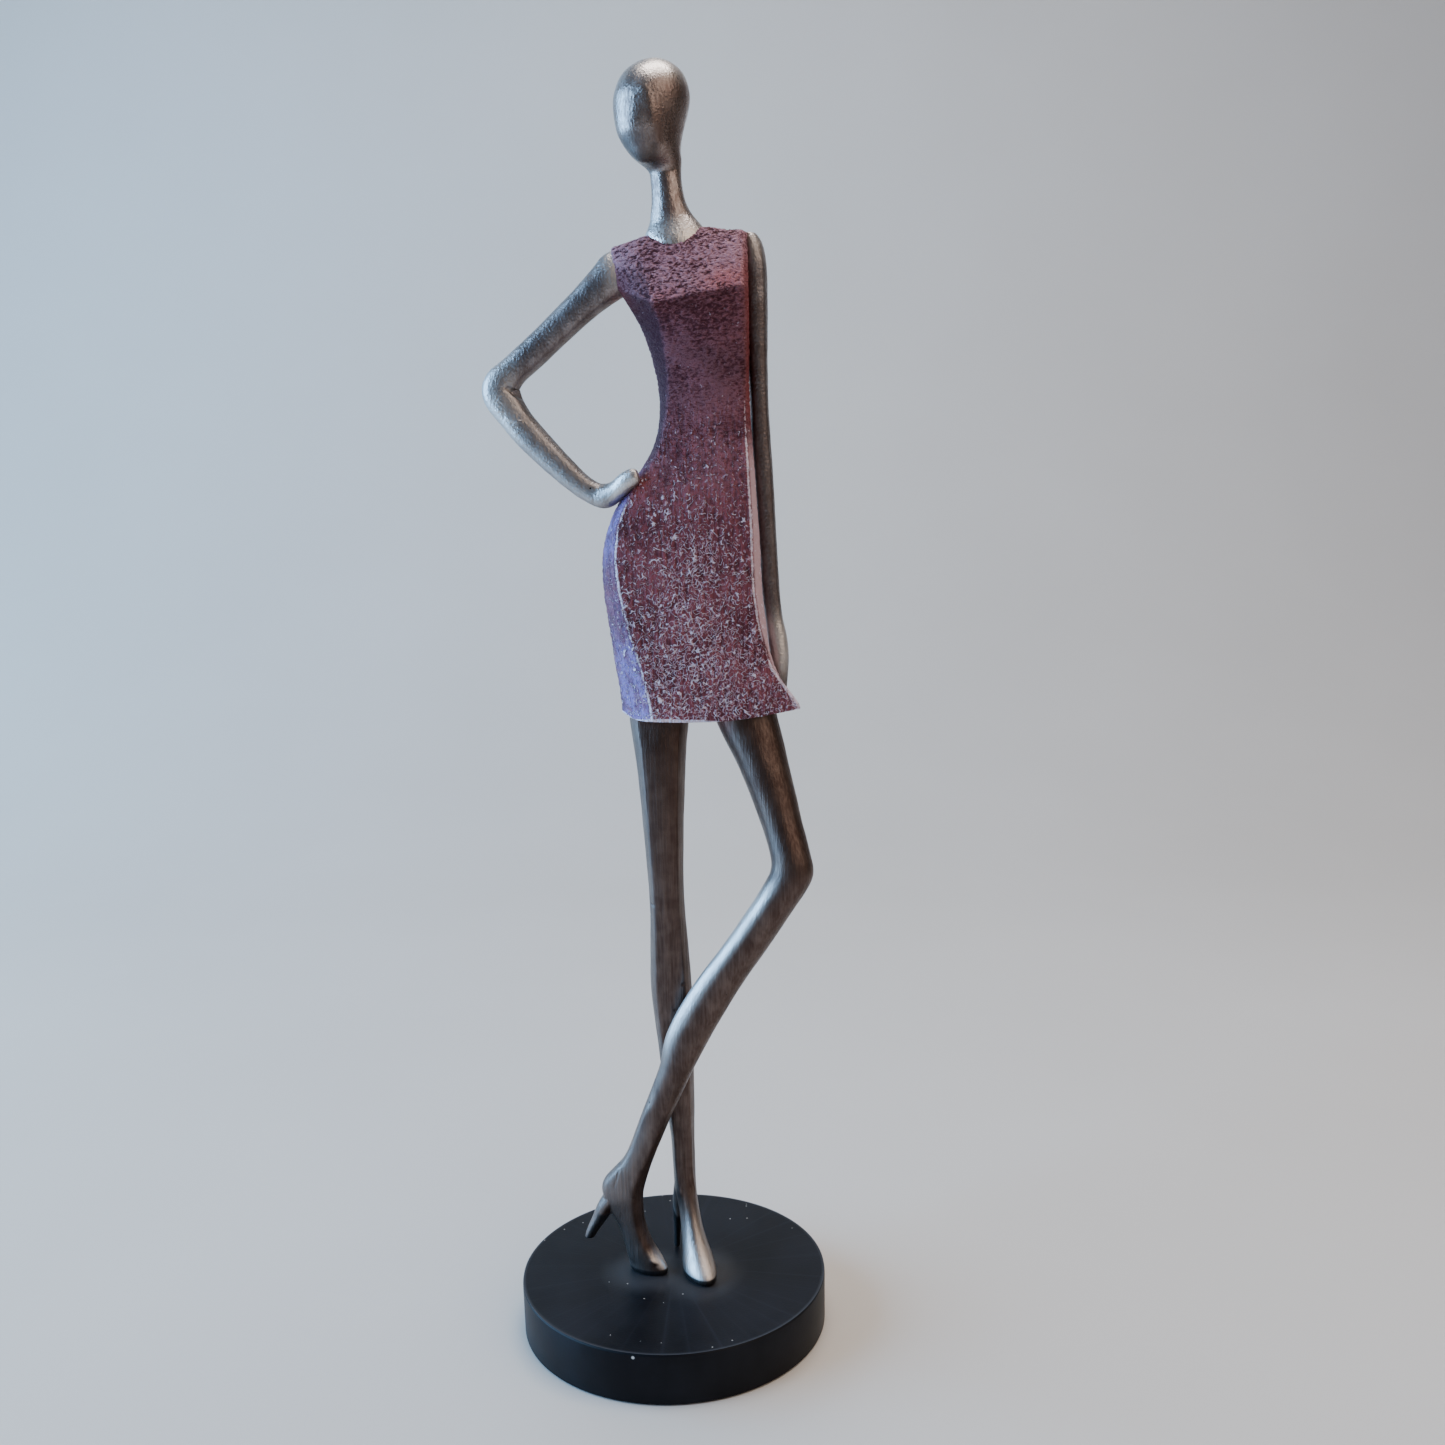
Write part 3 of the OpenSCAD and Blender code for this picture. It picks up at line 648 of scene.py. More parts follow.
# these slices are square to the arm's own line, from the finger tips to the shoulder
bentArm = {
    "slices": [
        [-3.4, -8.7, 256.5, 1.3, 1.2, 0, 0], [-4.4, -8.4, 256.1, 2.4, 2.0, 0, 0],
        [-7.2, -7.1, 254.4, 2.9, 2.7, 0, 0.02], [-10.2, -4.6, 252, 3.0, 3.2, 0, 0.02],
        [-13.6, -2.2, 250.4, 3.8, 3.6, 0, 0.03], [-17.4, -1.0, 251.4, 3.4, 3.3, 0, 0.05],
        [-22.6, -0.2, 255, 3.6, 3.6, 0, 0.08], [-29.6, 1, 261.8, 4.2, 4.0, 0, 0.08],
        [-36.4, 2, 269, 4.6, 4.3, 0, 0.08], [-41.6, 2.8, 275.8, 4.9, 4.4, 0, 0.08],
        [-44.8, 3, 282.6, 6.0, 4.7, 0, 0.05], [-41.2, 2.8, 287.6, 4.6, 4.5, 0, 0.08],
        [-35, 2.2, 292.6, 4.5, 4.4, 0, 0.08], [-26, 1.4, 300.4, 4.6, 4.4, 0, 0.08],
        [-17.6, 0.6, 307.6, 5.0, 4.6, 0, 0.08], [-11.4, 0, 312.6, 6.0, 4.8, 0, 0.04],
        [-8.6, 0, 314.8, 6.9, 4.6, 0, 0], [-6, 0, 315.8, 6.6, 3.8, 0, 0]],
    "line": [(-3, -8.6, 256), (-10, -4.6, 252), (-15, -1.6, 250.5), (-29.6, 1, 261.8), (-44, 3, 281.5),
             (-26, 1.4, 300.4), (-6, 0, 316)],
    "crease": 0.3,
    "elbowLines": [([(-41.6, 282.6), (-40.0, 281.4), (-38.4, 280.6)], 0.8, -0.9),
                   ([(-42.6, 274.0), (-40.2, 273.1), (-37.8, 272.9)], 0.3, 0.3)],
}
headAndNeck = {
    "slices": [
        [9.2, 0.4, 319, 8.6, 7.6, 0, 0], [9.4, 0.4, 323, 9.5, 7.9, 0, 0],
        [9.5, 0.4, 326, 9.2, 7.0, 0, 0], [9.1, 0.5, 329.2, 7.4, 5.8, 0, 0],
        [8.1, 0.7, 332, 6.0, 5.1, 0, 0], [7.4, 0.9, 336, 4.9, 4.7, -15, 0],
        [6.9, 1.0, 341, 4.6, 4.6, -30, 0], [6.6, 0.9, 344.2, 4.7, 5.0, -42, 0],
        [4.7, -1.0, 346.9, 5.7, 7.9, -46, 0], [3.3, -1.9, 349.8, 7.2, 9.4, -38, 0],
        [2.6, -1.6, 354, 8.9, 11.3, -28, 0], [3.0, -0.9, 360, 10.7, 12.2, -18, 0],
        [3.5, -0.4, 365, 11.0, 12.4, -10, 0], [3.9, 0.2, 370, 9.3, 10.4, -5, 0],
        [4.1, 0.5, 373, 6.2, 6.9, 0, 0], [4.3, 0.5, 374.6, 2.9, 3.2, 0, 0],
        [4.3, 0.5, 375, 0.6, 0.7, 0, 0]],
    "line": [(9.2, 0.4, 319), (7.0, 1.1, 344), (3.4, -1.9, 352), (3.9, 0.2, 375)],
    "chinPull": ((0.6, -7.6, 346.5), 5.0, (-0.3, -0.4, -1.8)),
    "faceEdge": ([(1.9, 363.7), (3.5, 358.0), (4.5, 353.9), (5.0, 349.8)], 1.0, 0.35),
}

# how uneven the castings are: the size of the waves and their height
legWave = 9 * mm, 0.25 * mm
armWave = 6 * mm, 0.2 * mm
headWave = 8 * mm, 0.2 * mm
dressWave = 14 * mm, 0.5 * mm

legVoxel = 0.36 * mm
ringSides = 8
swell = 6 / (4 + 2 * cos(2 * pi / ringSides))  # makes good what subdivision draws in


def addSlices(piece, slices, steps, squareToLine=False):
    rows = throughStations(slices, steps)
    for i, (x, y, h, halfWidth, halfDepth, turn, ridge) in enumerate(rows):
        side = Vector((cos(radians(turn)), sin(radians(turn)), 0))
        depth = Vector((-side.y, side.x, 0))
        if squareToLine:
            before, after = rows[max(i - 1, 0)], rows[min(i + 1, len(rows) - 1)]
            along = Vector(after[:3] - before[:3]).normalized()
            side = Vector((0, 1, 0)).cross(along).normalized()
            depth = along.cross(side)
        wider = swell * (1 + 0.25 * ridge)
        addRing(piece, ringSides, spot(x, y, h), side, depth,
                halfWidth * wider * mm, halfDepth * swell * mm, ridge)


def makeLimb(name, shape, steps=3, levels=2, squareToLine=False):
    piece = openNew(name)
    addSlices(piece, shape["slices"], steps, squareToLine)
    skinRings(shape.get("crease", 0))
    refine(piece, levels)
    return piece


def addHeel(piece, shape):
    # the stiletto is drawn on its own, then both are fused into one skin
    heel = openNew(piece.name + "Heel")
    addSlices(heel, shape["heel"], 3)
    skinRings()
    refine(heel, 2)
    deselect()
    heel.select_set(True)
    piece.select_set(True)
    bpy.context.view_layer.objects.active = piece
    bpy.ops.object.join()
    modify(piece, "REMESH", mode="VOXEL", voxel_size=legVoxel)
    modify(piece, "SMOOTH", factor=0.5, iterations=4)


def litSide(piece):
    # painted highlight: a lighter colour on what faces up and to the figure's right, towards the window
    # lamp
    facing = normals(piece)
    return rise(-0.75 * facing[:, 0] + 0.55 * facing[:, 2] - 0.2 * facing[:, 1], 0.35, 0.95)


def paintedShadeOf(piece):
    # painted shade: a darker colour on what faces down or to the figure's left, away from the window
    # lamp
    facing = normals(piece)
    return rise(-0.75 * facing[:, 2] + 0.35 * facing[:, 0], 0.15, 0.85)


def paintLimb(piece, line, paintedHighlight, paintedShade, black=0, blush=0):
    # the masks that the metal paint reads
    nothing = np.zeros(len(piece.data.vertices))
    masks = {"black": black, "paintedHighlight": paintedHighlight, "paintedShade": paintedShade, "blush": blush}
    for name, values in masks.items():
        mark(piece, name, nothing + values)
    markFlow(piece, line)


def makeStandingLeg():
    leg = makeLimb("standingLegCasting", standingLeg)
    addHeel(leg, standingLeg)
    roughen(leg, *legWave)
    for pit in standingLeg["pits"]:
        score(leg, [pit, (pit[0] + 0.2, pit[1])], 0.35, -0.4)
    facing = normals(leg)
    _, y, h = figurePoints(leg).T
    sole = fall(h, 2.0, 2.6)
    stiletto = rise(y, 8.6, 9.4) * fall(h, 19, 22)
    # painted shade: the lower leg's side that faces the figure's right, in shadow between the legs, is
    # painted black
    innerShade = 0.85 * rise(-facing[:, 0], 0.45, 0.8) * rise(h, 16, 26) * fall(h, 70, 84)
    # painted highlight: the front of the foot is lighter
    vampHighlight = fall(h, 2, 26) * rise(-facing[:, 1], -0.3, 0.5)
    paintLimb(leg, standingLeg["line"], np.maximum(vampHighlight, 0.1 * litSide(leg)), paintedShadeOf(leg),
              black=np.maximum.reduce([sole, stiletto, innerShade]), blush=0.6 * rise(h, 180, 186))
    finishPiece(leg, "root", "leg_paint", legPaint, "standing_leg")


def makeCrossedLeg():
    leg = makeLimb("crossedLegCasting", crossedLeg)
    addHeel(leg, crossedLeg)
    roughen(leg, *legWave)
    score(leg, *crossedLeg["crack"])
    facing = normals(leg)
    x, _, h = figurePoints(leg).T
    sole = fall(h, 1.9, 2.4) * rise(x, -16.5, -15.5)
    breast = rise(facing @ np.array([0.64, -0.77, -0.4]), 0.05, 0.3)  # the heel's front
    breast *= rise(-x, 19.0, 19.8) * fall(h, 19.5, 21)
    # painted highlights: the top of the toe, the foot's side that faces the figure's right and the lit
    # side of the shin are lighter
    toeHighlight = fall(h, 4, 10) * rise(x, -12, -7) * rise(facing[:, 2], 0.05, 0.4)
    shinHighlight = rise(h, 70, 92) * fall(h, 126, 136)
    low = fall(h, 45, 60)
    footSideHighlight = 0.12 * rise(-facing[:, 0], -0.15, 0.3) * low
    paintedHighlight = np.maximum.reduce([toeHighlight, footSideHighlight, litSide(leg) * (0.1 + 0.8 * shinHighlight)])
    paintLimb(leg, crossedLeg["line"], paintedHighlight, paintedShadeOf(leg), black=np.maximum(sole, breast),
              blush=rise(h, 174, 184) * fall(x, 18, 25))
    finishPiece(leg, "root", "leg_paint", legPaint, "crossed_leg")


def makeStraightArm():
    arm = makeLimb("straightArmCasting", straightArm, levels=3)
    roughen(arm, *armWave)
    x, _, h = figurePoints(arm).T
    # lighter at the shoulder's top and round the hand; painted shade darkens the arm from above the
    # hand to below the shoulder
    paintedHighlight = rise(h, 314, 325) * 0.5 + fall(abs(h - 205), 3, 14) * 0.9
    shaded = 0.75 * fall(h, 300, 312) * rise(h, 208, 216)
    paintLimb(arm, straightArm["line"], paintedHighlight, np.maximum(paintedShadeOf(arm), shaded),
              blush=fall(x, 29.8, 31.5) * rise(h, 255, 300))
    finishPiece(arm, "root", "arm_paint", armPaint, "straight_arm")


def makeBentArm():
    arm = makeLimb("bentArmCasting", bentArm, levels=3, squareToLine=True)
    roughen(arm, *armWave)
    for elbowLine in bentArm["elbowLines"]:
        score(arm, *elbowLine)
    x, _, h = figurePoints(arm).T
    facing = normals(arm)
    # lighter hand and shoulder cap; painted highlight on the forearm's front, the elbow and the lit
    # side
    hand = rise(x, -13, -9) * fall(h, 256, 262)
    cap = rise(x, -14, -9) * rise(h, 305, 318)
    forearmHighlight = 0.35 * fall(h, 276, 284) * rise(-facing[:, 1], 0.1, 0.6)
    elbowHighlight = 0.45 * rise(-x, 37, 43)
    paintedHighlight = np.clip(hand + 0.8 * cap + 0.25 * litSide(arm) + forearmHighlight + elbowHighlight, 0, 1)
    armpit = 0.7 * rise(x, -12, -8.5) * fall(h, 306, 312) * rise(h, 290, 300)
    paintLimb(arm, bentArm["line"], paintedHighlight, paintedShadeOf(arm), blush=armpit)
    finishPiece(arm, "root", "arm_paint", armPaint, "bent_arm")


def makeHead():
    head = makeLimb("headAndNeckCasting", headAndNeck, levels=3)
    grab(head, *headAndNeck["chinPull"])
    score(head, *headAndNeck["faceEdge"])
    roughen(head, *headWave)
    x, _, h = figurePoints(head).T
    facing = normals(head)
    # painted shade under the chin, also painted black there, and on the right of the face as seen from
    # in front; painted highlight on the crown and at the foot of the neck
    chinShade = rise(-facing[:, 2], 0.2, 0.6) * rise(h, 342, 345) * fall(x, 3.5, 7)
    cheekShade = rise(x, 1, 5) * rise(-facing[:, 1], 0, 0.4)
    cheekShade *= fall(h, 362, 370) * rise(h, 341, 346)
    crownAndNeckHighlight = np.maximum(fall(h, 324, 333), 0.7 * rise(h, 364, 371))
    paintLimb(head, headAndNeck["line"], crownAndNeckHighlight, np.maximum(chinShade, 0.75 * cheekShade), black=0.75 * chinShade)
    finishPiece(head, "root", "head_paint", headPaint, "head_and_neck")


# The dress: at each station its corners, in mm, are the left side, the left and right
# edges of the front panel, the right side, then [left x, right x, y] of the back.
# Left and right are as seen from in front.

armhole = 30.3
dressShape = {
    "stations": [
        [[-11.4, 1, 184.6], [-1.4, -12, 182.9], [43.8, -10, 185.6], [41.6, 2.5, 184.6], [-5, 33, 10.5]],
        [[-11.7, 1, 188], [-2, -11.8, 188], [42.4, -9.8, 188.6], [38.6, 1.6, 188.4], [-6, 31.4, 10.8]],
        [[-12.8, 1, 198], [-4.2, -11.4, 198], [35.2, -9.6, 198], [35.4, -0.6, 198], [-7, 30, 11.2]],
        [[-14.4, 1, 210], [-7.8, -10.8, 210], [31.7, -9, 210], [34.2, -1.4, 210], [-9, 28.4, 11.8]],
        [[-15.6, 1, 221], [-10, -10.4, 221], [30.2, -9, 221], [33, -1.6, 221], [-10, 27.4, 12]],
        [[-16, 1, 231], [-11.2, -9.6, 231], [29.9, -8.8, 231], [32.6, -1.8, 231], [-10.5, 26.6, 11.6]],
        [[-13.8, 1, 241], [-10.2, -8.6, 241], [29.8, -8.4, 241], [32.0, -1.6, 241], [-8.6, 27, 10.8]],
        [[-9.4, 1, 249.5], [-6.6, -7.8, 249.5], [29.5, -8, 249.5], [31.6, -1.4, 249.5], [-5, 27, 9.8]],
        [[-3.4, 1, 257.5], [-0.8, -7.4, 257.5], [29.2, -7.6, 257.5], [31.2, -1, 257.5], [0, 27, 9]],
        [[1.2, 1, 265], [3.4, -7.4, 265], [28.9, -7.4, 265], [30.8, -1, 265], [3.6, 27, 8.2]],
        [[3.2, 1, 276], [5.8, -7.6, 276], [28.6, -7.4, 276], [30.3, -1, 276], [5.4, 27, 7.8]],
        [[1.6, 1, 289], [6, -8.6, 289], [28.7, -8, 289], [30.1, -1, 289], [4.6, 28, 8]],
        [[-1.8, 0, 300], [4.4, -10, 299], [29, -9, 300], [armhole, -3.5, 300], [0, 29, 8]],
        [[-5.4, -2, 306.4], [2.9, -11, 302.6], [28.8, -9.6, 306.8], [armhole, -4, 307],
         [-5, armhole, 7.8]],
        [[-7.9, -4.4, 310], [2.2, -14.2, 304.4], [28.6, -12.4, 309.2], [armhole, -4.8, 310],
         [-7.9, armhole, 7.6]],
        [[-8.5, -4.6, 313.5], [1.9, -13.0, 308], [28.4, -11.4, 312.4], [armhole, -4.8, 313],
         [-8.5, armhole, 7.4]],
        [[-9.4, -4, 319], [0, -9, 317], [28.6, -8.4, 320], [armhole, -4.6, 320], [-9.4, armhole, 7]],
        [[-9.9, -2.6, 322], [-1.2, -6.2, 323], [29, -5.8, 325.6], [armhole, -3, 325.6],
         [-9.9, armhole, 5.4]],
        [[-9, -0.6, 323.2], [0, -2.6, 325.8], [29, -2.6, 327.4], [armhole, -0.8, 326.9],
         [-8, 29, 1.8]]],
    "smoothTo": 12,  # the stations above keep the sharp bust edge
    "bust": 14,
    "skirtBulges": [0.8, 1.4, 0.7, 0.4, 2.6, 0.8],
    "bustBulges": [0.6, 1.2, 0.4, 0, 1.4, 0],
    "armpit": 302,
    "bodiceFrom": (262, 292),  # level bark above, upright ribs and worms below
    "hemDip": [[-12, 184.6], [-7, 182.2], [0, 183], [13, 182.4], [28, 180.9], [36, 182.2], [40, 183.6],
               [43.5, 185.5]],
    "bustFront": [[-7.9, 310], [2.2, 304.6], [28.6, 309.4]],  # the ridge, as x and h
    "hemWall": 1.5,
    "hemHollow": 3.2,
    # the shoulders rise to the neck on both sides: where, how wide and how far
    "shoulderPulls": [((18.0, -1, 327.5), 6.5, (0, 0, 1.8)), ((0.3, -1, 325.5), 4.0, (0, 0, 0.9))],
    "bark": {"size": 1.6, "height": 0.38, "octaves": 1.5, "flatten": 0.45},
    "worms": {"size": 2.0, "height": 0.22, "octaves": 1.0},
    "crease": 0.9,
    "voxel": 0.48,
}


def dressCorners(station):
    left, panelLeft, panelRight, right, (backLeft, backRight, backY) = station
    return [left, panelLeft, panelRight, right,
            [backRight, backY, right[2]], [backLeft, backY, left[2]]]


def dressRow(station):
    # the six corners and, between them, the bowed middles of the six sides
    corners = [np.array(c, float) for c in dressCorners(station)]
    bulges = dressShape["skirtBulges" if station[0][2] < dressShape["armpit"] else "bustBulges"]
    row = []
    for i, bulge in enumerate(bulges):
        a, b = corners[i], corners[(i + 1) % 6]
        out = np.array([(b - a)[1], -(b - a)[0], 0])
        row += [a, (a + b) / 2 + out / np.linalg.norm(out) * bulge * 1.2]
    return np.array(row).ravel()


def dressRows():
    rows = [dressRow(station) for station in dressShape["stations"]]
    hemX, hemH = zip(*dressShape["hemDip"])
    rows[0][2::3] = np.interp(rows[0][0::3], hemX, hemH)
    smoothTo = dressShape["smoothTo"]
    return throughStations(rows[:smoothTo + 1], 2) + rows[smoothTo + 1:]


def makeDress():
    dress = openNew("dressCasting")
    for row in dressRows():
        places = [spot(*p) for p in row.reshape(-1, 3)]
        centre = sum(places, Vector()) / len(places)
        bpy.ops.mesh.primitive_circle_add(vertices=12, radius=10 * mm, fill_type="NOTHING",
                                          location=centre)
        shape = bmesh.from_edit_mesh(dress.data)
        for vert in [v for v in shape.verts if v.select]:
            angle = np.arctan2(vert.co.y - centre.y, vert.co.x - centre.x)
            corner = round((angle / pi - 1) * 6) % 12
            vert.co = places[corner]
            vert.select = corner % 2 == 0
        shape.select_flush_mode()
        bmesh.update_edit_mesh(dress.data)
        bpy.ops.object.vertex_group_assign()
    skinRings(dressShape["crease"])
    sharpenBust(dress)
    hollowHem(dress)
    refine(dress, 3)
    modify(dress, "REMESH", mode="VOXEL", voxel_size=dressShape["voxel"] * mm)
    modify(dress, "SMOOTH", factor=0.5, iterations=1)
    return dress


def sharpenBust(dress):
    # the ring edges of the bust station, round the front
    station = dressShape["stations"][dressShape["bust"]]
    line = [spot(*p) for p in dressCorners(station)[:4]]
    away, _ = nearLine(points(dress), line)
    only(dress)
    bpy.ops.object.mode_set(mode="EDIT")
    selectBy(dress, "VERT", lambda v: away[v.index] < 1.6 * mm)
    bpy.ops.transform.edge_crease(value=0.8)
    bpy.ops.object.mode_set(mode="OBJECT")


def hollowHem(dress):
    # a thin hem with a shallow hollow, whose ceiling the legs meet
    only(dress)
    bpy.ops.object.mode_set(mode="EDIT")
    bpy.ops.mesh.select_mode(type="FACE")
    bpy.ops.mesh.select_all(action="DESELECT")
    shape = bmesh.from_edit_mesh(dress.data)
    lowest = min(shape.faces, key=lambda f: f.calc_center_median().z)
    lowest.select = True
    shape.select_flush_mode()
    bmesh.update_edit_mesh(dress.data)
    bpy.ops.transform.edge_crease(value=0.9)
    bpy.ops.mesh.inset(thickness=dressShape["hemWall"] * mm)
    bpy.ops.transform.edge_crease(value=0.9)
    bpy.ops.mesh.extrude_region_move(
        TRANSFORM_OT_translate={"value": (0, 0, dressShape["hemHollow"] * mm)})
    bpy.ops.mesh.select_mode(type="VERT")
    bpy.ops.object.mode_set(mode="OBJECT")


def edgeLine(corner):
    # one of the dress's corner lines, from the hem to the shoulder
    return [spot(*dressCorners(station)[corner]) for station in dressShape["stations"]]


def cut(dress, group, pattern, **settings):
    ridged = bpy.data.textures.new(group, "MUSGRAVE")
    ridged.musgrave_type = "RIDGED_MULTIFRACTAL"
    ridged.noise_scale = pattern["size"] * mm
    ridged.octaves = pattern["octaves"]
    modify(dress, "DISPLACE", texture=ridged, vertex_group=group, strength=pattern["height"] * mm,
           mid_level=0.7, **settings)


def carve(dress):
    # the relief: level bark ridges on the bodice, crooked little worms on the skirt
    before, facing = points(dress), normals(dress)
    x, _, h = figurePoints(dress).T
    inside = rise(-facing[:, 2], 0.5, 0.9) * fall(h, 186, 190)
    bodice = rise(h, *dressShape["bodiceFrom"])
    tip = rise(x, 36, 40)
    groups = {"bodiceRelief": bodice, "skirtRelief": (1 - bodice) * (1 - inside) * (1 - tip)}
    for name, weights in groups.items():
        group = dress.vertex_groups.new(name=name)
        for index, weight in enumerate(weights):
            group.add([index], float(weight), "REPLACE")
    deselect()
    bpy.ops.object.empty_add()
    stretch = bpy.context.object
    stretch.scale = (1, 1, dressShape["bark"]["flatten"])
    bpy.context.view_layer.update()
    cut(dress, "bodiceRelief", dressShape["bark"], texture_coords="OBJECT",
        texture_coords_object=stretch)
    cut(dress, "skirtRelief", dressShape["worms"], texture_coords="LOCAL")
    bpy.data.objects.remove(stretch)
    roughen(dress, *dressWave)
    raised = np.einsum("ij,ij->i", points(dress) - before, facing)
    mark(dress, "relief", np.clip(raised / (0.5 * mm) + 0.5, 0, 1))


def paintDress(dress):
    x, y, h = figurePoints(dress).T
    here = points(dress)
    corners = np.array([dressCorners(s)[:4] for s in dressShape["stations"]])
    panelLeftX = np.interp(h, corners[:, 1, 2], corners[:, 1, 0])
    panelRightX = np.interp(h, corners[:, 2, 2], corners[:, 2, 0])
    front = rise(-y, -2.0, 2.0)
    leftGap, rightGap = [nearLine(here, edgeLine(c))[0] / mm for c in (1, 2)]
    hemH = np.interp(x, *zip(*dressShape["hemDip"]))
    hem = fall(h - hemH, 0.4, 1.1)
    leftEdge = fade(leftGap, 0.6) * fall(h, 238, 262)
    rightEdge = fade(rightGap, 0.6 + 0.7 * fall(h, 188, 202))
    rightEdge *= 0.3 + 0.7 * fall(h, 262, 285)
    tip = rise(x, 38, 42) * 0.5
    bustLine = [spot(*p) for p in dressCorners(dressShape["stations"][dressShape["bust"]])[:3]]
    bustEdge = 0.35 * fade(nearLine(here, bustLine)[0] / mm, 0.7)
    mark(dress, "edge", np.clip(np.maximum.reduce([leftEdge, rightEdge, hem, tip, bustEdge]), 0, 1))
    left = rise(panelLeftX - x, -0.2, 0.8) * front
    right = rise(x - panelRightX, 0.0, 0.8)
    # painted light: the lower left side panel takes the lilac of the window lamp
    windowLitBand = fall(h, 248, 262) * (1 - 0.75 * rise(h, 200, 212) * fall(h, 226, 238))
    mark(dress, "windowLitFlank", left * windowLitBand * 0.85)
    # painted shade: the upper part of the left side panel is darkened to plum
    mark(dress, "plum", left * rise(h, 250, 268) * 0.92)
    mark(dress, "strip", right * fall(h, 255, 272) * 0.8)
    mark(dress, "bodice", rise(h, *dressShape["bodiceFrom"]))
    bustH = np.interp(x, *zip(*dressShape["bustFront"]))
    yoke = rise(h - bustH, -0.3, 0.5) * (1 - 0.6 * left * fall(h, 312, 318))
    mark(dress, "yoke", np.maximum(yoke, 0.24 * rise(h, 240, 266) * (1 - left)))
    middle = fade(x - 12, 12) * fall(h, 225, 265)
    low = fall(h, 190, 250)
    rub = (0.34 + 0.34 * middle + 0.28 * low) * (1 - 0.35 * left)
    mark(dress, "rub", rub * fall(h, 252, 288))
    rosy = fade(x - 23, 6) * fade(h - bustH - 2.5, 3.5)
    rosy += 0.6 * fade(x - 6, 4) * fade(h - bustH - 1.5, 2)
    mark(dress, "salmon", 0.65 * np.clip(rosy, 0, 1) * rise(h - bustH, -0.3, 0.5))
    hand = fade(awayFrom(dress, -4.5, -8, 254), 3.5)
    pit = fade(awayFrom(dress, -9, -3, 309), 6)
    pitRight = right * rise(h, 262, 280) * fall(h, 314, 324)
    mark(dress, "blush", np.clip(0.8 * hand + 0.5 * pit + 0.7 * pitRight, 0, 1))


def dressUp():
    dress = makeDress()
    for pull in dressShape["shoulderPulls"]:
        grab(dress, *pull)
    carve(dress)
    paintDress(dress)
    finishPiece(dress, "root", "dress_paint", dressPaint, "dress")


# The base

baseShape = {
    "radius": (baseHigh.x - baseLow.x) / 2,
    "foot": baseLow.z,
    "top": baseHigh.z,
    "rim": 0.8 * mm,
    "belly": 0.8 * mm,
    "studs": [(7, -2.5), (-10, -2)],
    "studHole": 1.55 * mm,
    "counterbore": 4.5 * mm,
    "seat": 7.5 * mm,
}


def makeBase():
    shape = baseShape
    height = shape["top"] - shape["foot"]
    deselect()
    bpy.ops.mesh.primitive_cylinder_add(vertices=240, radius=shape["radius"], depth=height,
                                        location=(0, 0, shape["foot"] + height / 2))
    base = bpy.context.object
    base.name = base.data.name = "roundBase"
    bpy.ops.object.transform_apply(location=True, rotation=True, scale=True)
    bpy.ops.object.mode_set(mode="EDIT")
    # the recess for the felt
    selectBy(base, "FACE", lambda f: f.normal.z < -0.9)
    bpy.ops.mesh.inset(thickness=shape["radius"] - feltHigh.x - 0.2 * mm)
    bpy.ops.mesh.extrude_region_move(
        TRANSFORM_OT_translate={"value": (0, 0, feltHigh.z - shape["foot"])})
    # the rounded rim
    selectBy(base, "FACE", lambda f: f.normal.z > 0.9)
    bpy.ops.mesh.bevel(offset=shape["rim"], segments=6, affect="EDGES")
    # more rings on the side, for its belly
    wall = 0.97 * shape["radius"]
    selectBy(base, "FACE", lambda f: abs(f.normal.z) < 0.1 and f.calc_center_median().xy.length > wall)
    bpy.ops.mesh.subdivide_edgering(number_cuts=15)
    # closer rings on the top, for the smears and the dust
    selectBy(base, "FACE", lambda f: f.normal.z > 0.95 and f.calc_area() > 1e-4)
    bpy.ops.mesh.inset(thickness=0.4 * mm)
    bpy.ops.mesh.inset(thickness=0.6 * mm)
    for _ in range(11):
        bpy.ops.mesh.inset(thickness=3.9 * mm)
    bpy.ops.object.mode_set(mode="OBJECT")
    for x, y in shape["studs"]:
        drill(base, spot(x, y, 0), shape["studHole"], 30 * mm)
        drill(base, spot(x, y, 0), shape["counterbore"], shape["seat"])
    bulgeAndMark(base)
    finishPiece(base, "root", "base_black", basePaint, "base_disc")
    only(base)
    bpy.ops.object.shade_smooth_by_angle(angle=radians(35))


def drill(piece, centre, radius, high):
    # a hole from the ground up
    deselect()
    bpy.ops.mesh.primitive_cylinder_add(vertices=48, radius=radius, depth=high,
                                        location=(centre.x, centre.y, high / 2))
    bit = bpy.context.object
    modify(piece, "BOOLEAN", object=bit, operation="DIFFERENCE", solver="EXACT")
    bpy.data.objects.remove(bit)


def bulgeAndMark(base):
    shape = baseShape
    here = points(base)
    x, y, z = here.T
    radius = np.hypot(x, y)
    outer = radius > 0.985 * shape["radius"]
    t = (z - shape["foot"]) / (shape["top"] - shape["foot"])
    shrink = np.where(outer, 1 - (2 * t - 1) ** 2 * shape["belly"] / shape["radius"], 1)
    here[:, :2] *= shrink[:, None]
    setPoints(base, here)
    depth = (shape["top"] - z) / mm
    top = fall(depth, 0.1, 0.3)
    mark(base, "top", top)
    # painted highlight along the rim
    rimGap = (radius - shape["radius"] + shape["rim"]) / mm
    mark(base, "rim", fade(rimGap, 0.5) * rise(-depth, -0.9, 0))
    x, y = x / mm, y / mm
    feet = np.minimum(np.hypot(x - 8.5, (y + 5) * 0.75), np.hypot((x + 7) * 0.8, y + 3))
    mark(base, "glue", top * fall(feet, 7, 15))


# Everything in turn

makeBase()
makeStandingLeg()
makeCrossedLeg()
dressUp()
makeHead()
makeBentArm()
makeStraightArm()

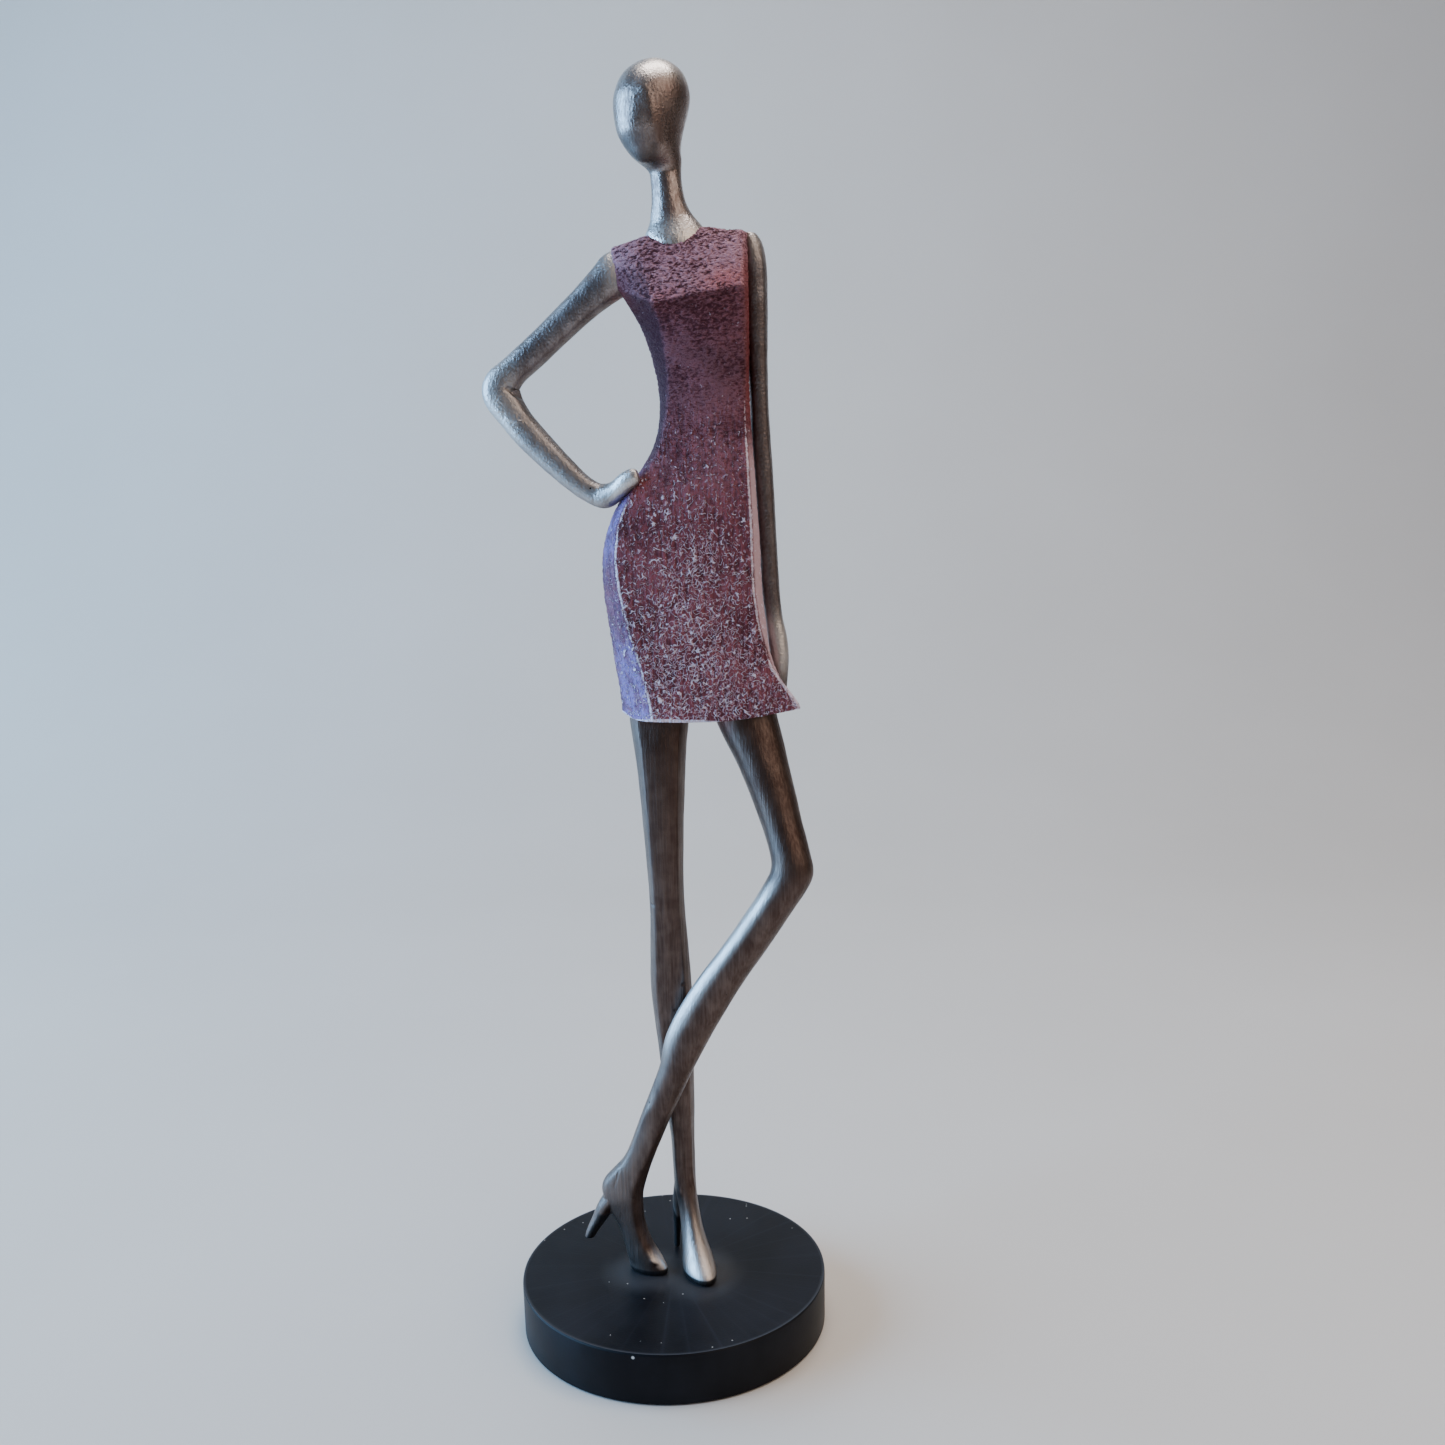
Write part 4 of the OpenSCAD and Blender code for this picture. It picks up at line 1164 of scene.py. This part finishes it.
steelNodes = ["foot_studs", "fixing_nuts", "fixing_washers", "standing_leg_rod", "crossed_leg_rod",
              "neck_dowel", "bent_arm_wire", "straight_arm_wire", "hip_dowel"]
for name in steelNodes + ["felt_pad"]:
    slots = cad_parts[name].data.materials
    slots.clear()
    slots.append(drawnSteel if name in steelNodes else felt)


# The stage, the lights and the camera

def makeStage():
    material, tree, skin, where = newMaterial("paleFloor")
    colour = blend(tree, noise(tree, where, 6.0, 3.0), (0.62, 0.58, 0.53, 1), (0.68, 0.64, 0.59, 1))
    feed(tree, skin, {"Base Color": colour, "Roughness": 0.6})
    deselect()
    bpy.ops.mesh.primitive_plane_add(size=4, location=(0, 0, 0))
    floor = bpy.context.object
    floor.name = "paleFloor"
    bpy.ops.object.mode_set(mode="EDIT")
    # its far edge is drawn up into a backdrop, with a wide curve between
    selectBy(floor, "EDGE", lambda e: all(v.co.y > 1 for v in e.verts))
    bpy.ops.transform.translate(value=(0, -0.9, 0))
    bpy.ops.mesh.extrude_region_move(TRANSFORM_OT_translate={"value": (0, 0, 2.2)})
    selectBy(floor, "EDGE", lambda e: all(abs(v.co.z) < 0.01 and v.co.y > 1 for v in e.verts))
    bpy.ops.mesh.bevel(offset=0.6, segments=24, affect="EDGES")
    bpy.ops.mesh.select_mode(type="VERT")
    bpy.ops.object.mode_set(mode="OBJECT")
    bpy.ops.object.shade_smooth()
    floor.data.materials.append(material)


studio = {
    # where each light stands, its two sizes in metres, watts and colour
    "window": [(-1.15, -0.05, 0.50), (1.4, 1.1), 46, (0.30, 0.60, 1.0)],
    "fill": [(0.9, -0.7, 1.0), (1.4, 1.4), 9, (1.0, 0.80, 0.66)],
    "top": [(0.1, 0.1, 1.25), (0.7, 0.7), 12, (1.0, 0.93, 0.88)],
    "lightAim": (0, 0, 0.2),
    "room": (0.55, 0.46, 0.40, 1),
    "roomStrength": 0.16,
    "camera": (0.01987, -0.42916, 0.26094),
    "lookDown": 8.49,
    "roll": -1.29,
    "lens": 34.88,
}


def addLight(name):
    stand, size, watts, colour = studio[name]
    deselect()
    bpy.ops.object.light_add(type="AREA", location=stand)
    lamp = bpy.context.object
    lamp.name = name
    aim = Vector(studio["lightAim"]) - Vector(stand)
    lamp.rotation_euler = aim.to_track_quat("-Z", "Y").to_euler()
    lamp.data.shape = "RECTANGLE"
    lamp.data.size, lamp.data.size_y = size
    lamp.data.energy = watts
    lamp.data.color = colour


def makeLights():
    for name in ["window", "fill", "top"]:
        addLight(name)
    world = bpy.data.worlds.new("room")
    bpy.context.scene.world = world
    world.use_nodes = True
    feed(world.node_tree, world.node_tree.nodes["Background"],
         {"Color": studio["room"], "Strength": studio["roomStrength"]})


def makeCamera():
    deselect()
    bpy.ops.object.camera_add()
    camera = bpy.context.object
    tilt = Matrix.Rotation(radians(90 - studio["lookDown"]), 4, "X")
    tilt = tilt @ Matrix.Rotation(radians(studio["roll"]), 4, "Z")
    camera.matrix_world = Matrix.Translation(studio["camera"]) @ tilt
    camera.data.lens = studio["lens"]
    camera.data.sensor_width = 36
    camera.data.clip_start = 0.01
    bpy.context.scene.camera = camera


makeStage()
makeLights()
makeCamera()
print("stage, lights and camera set")
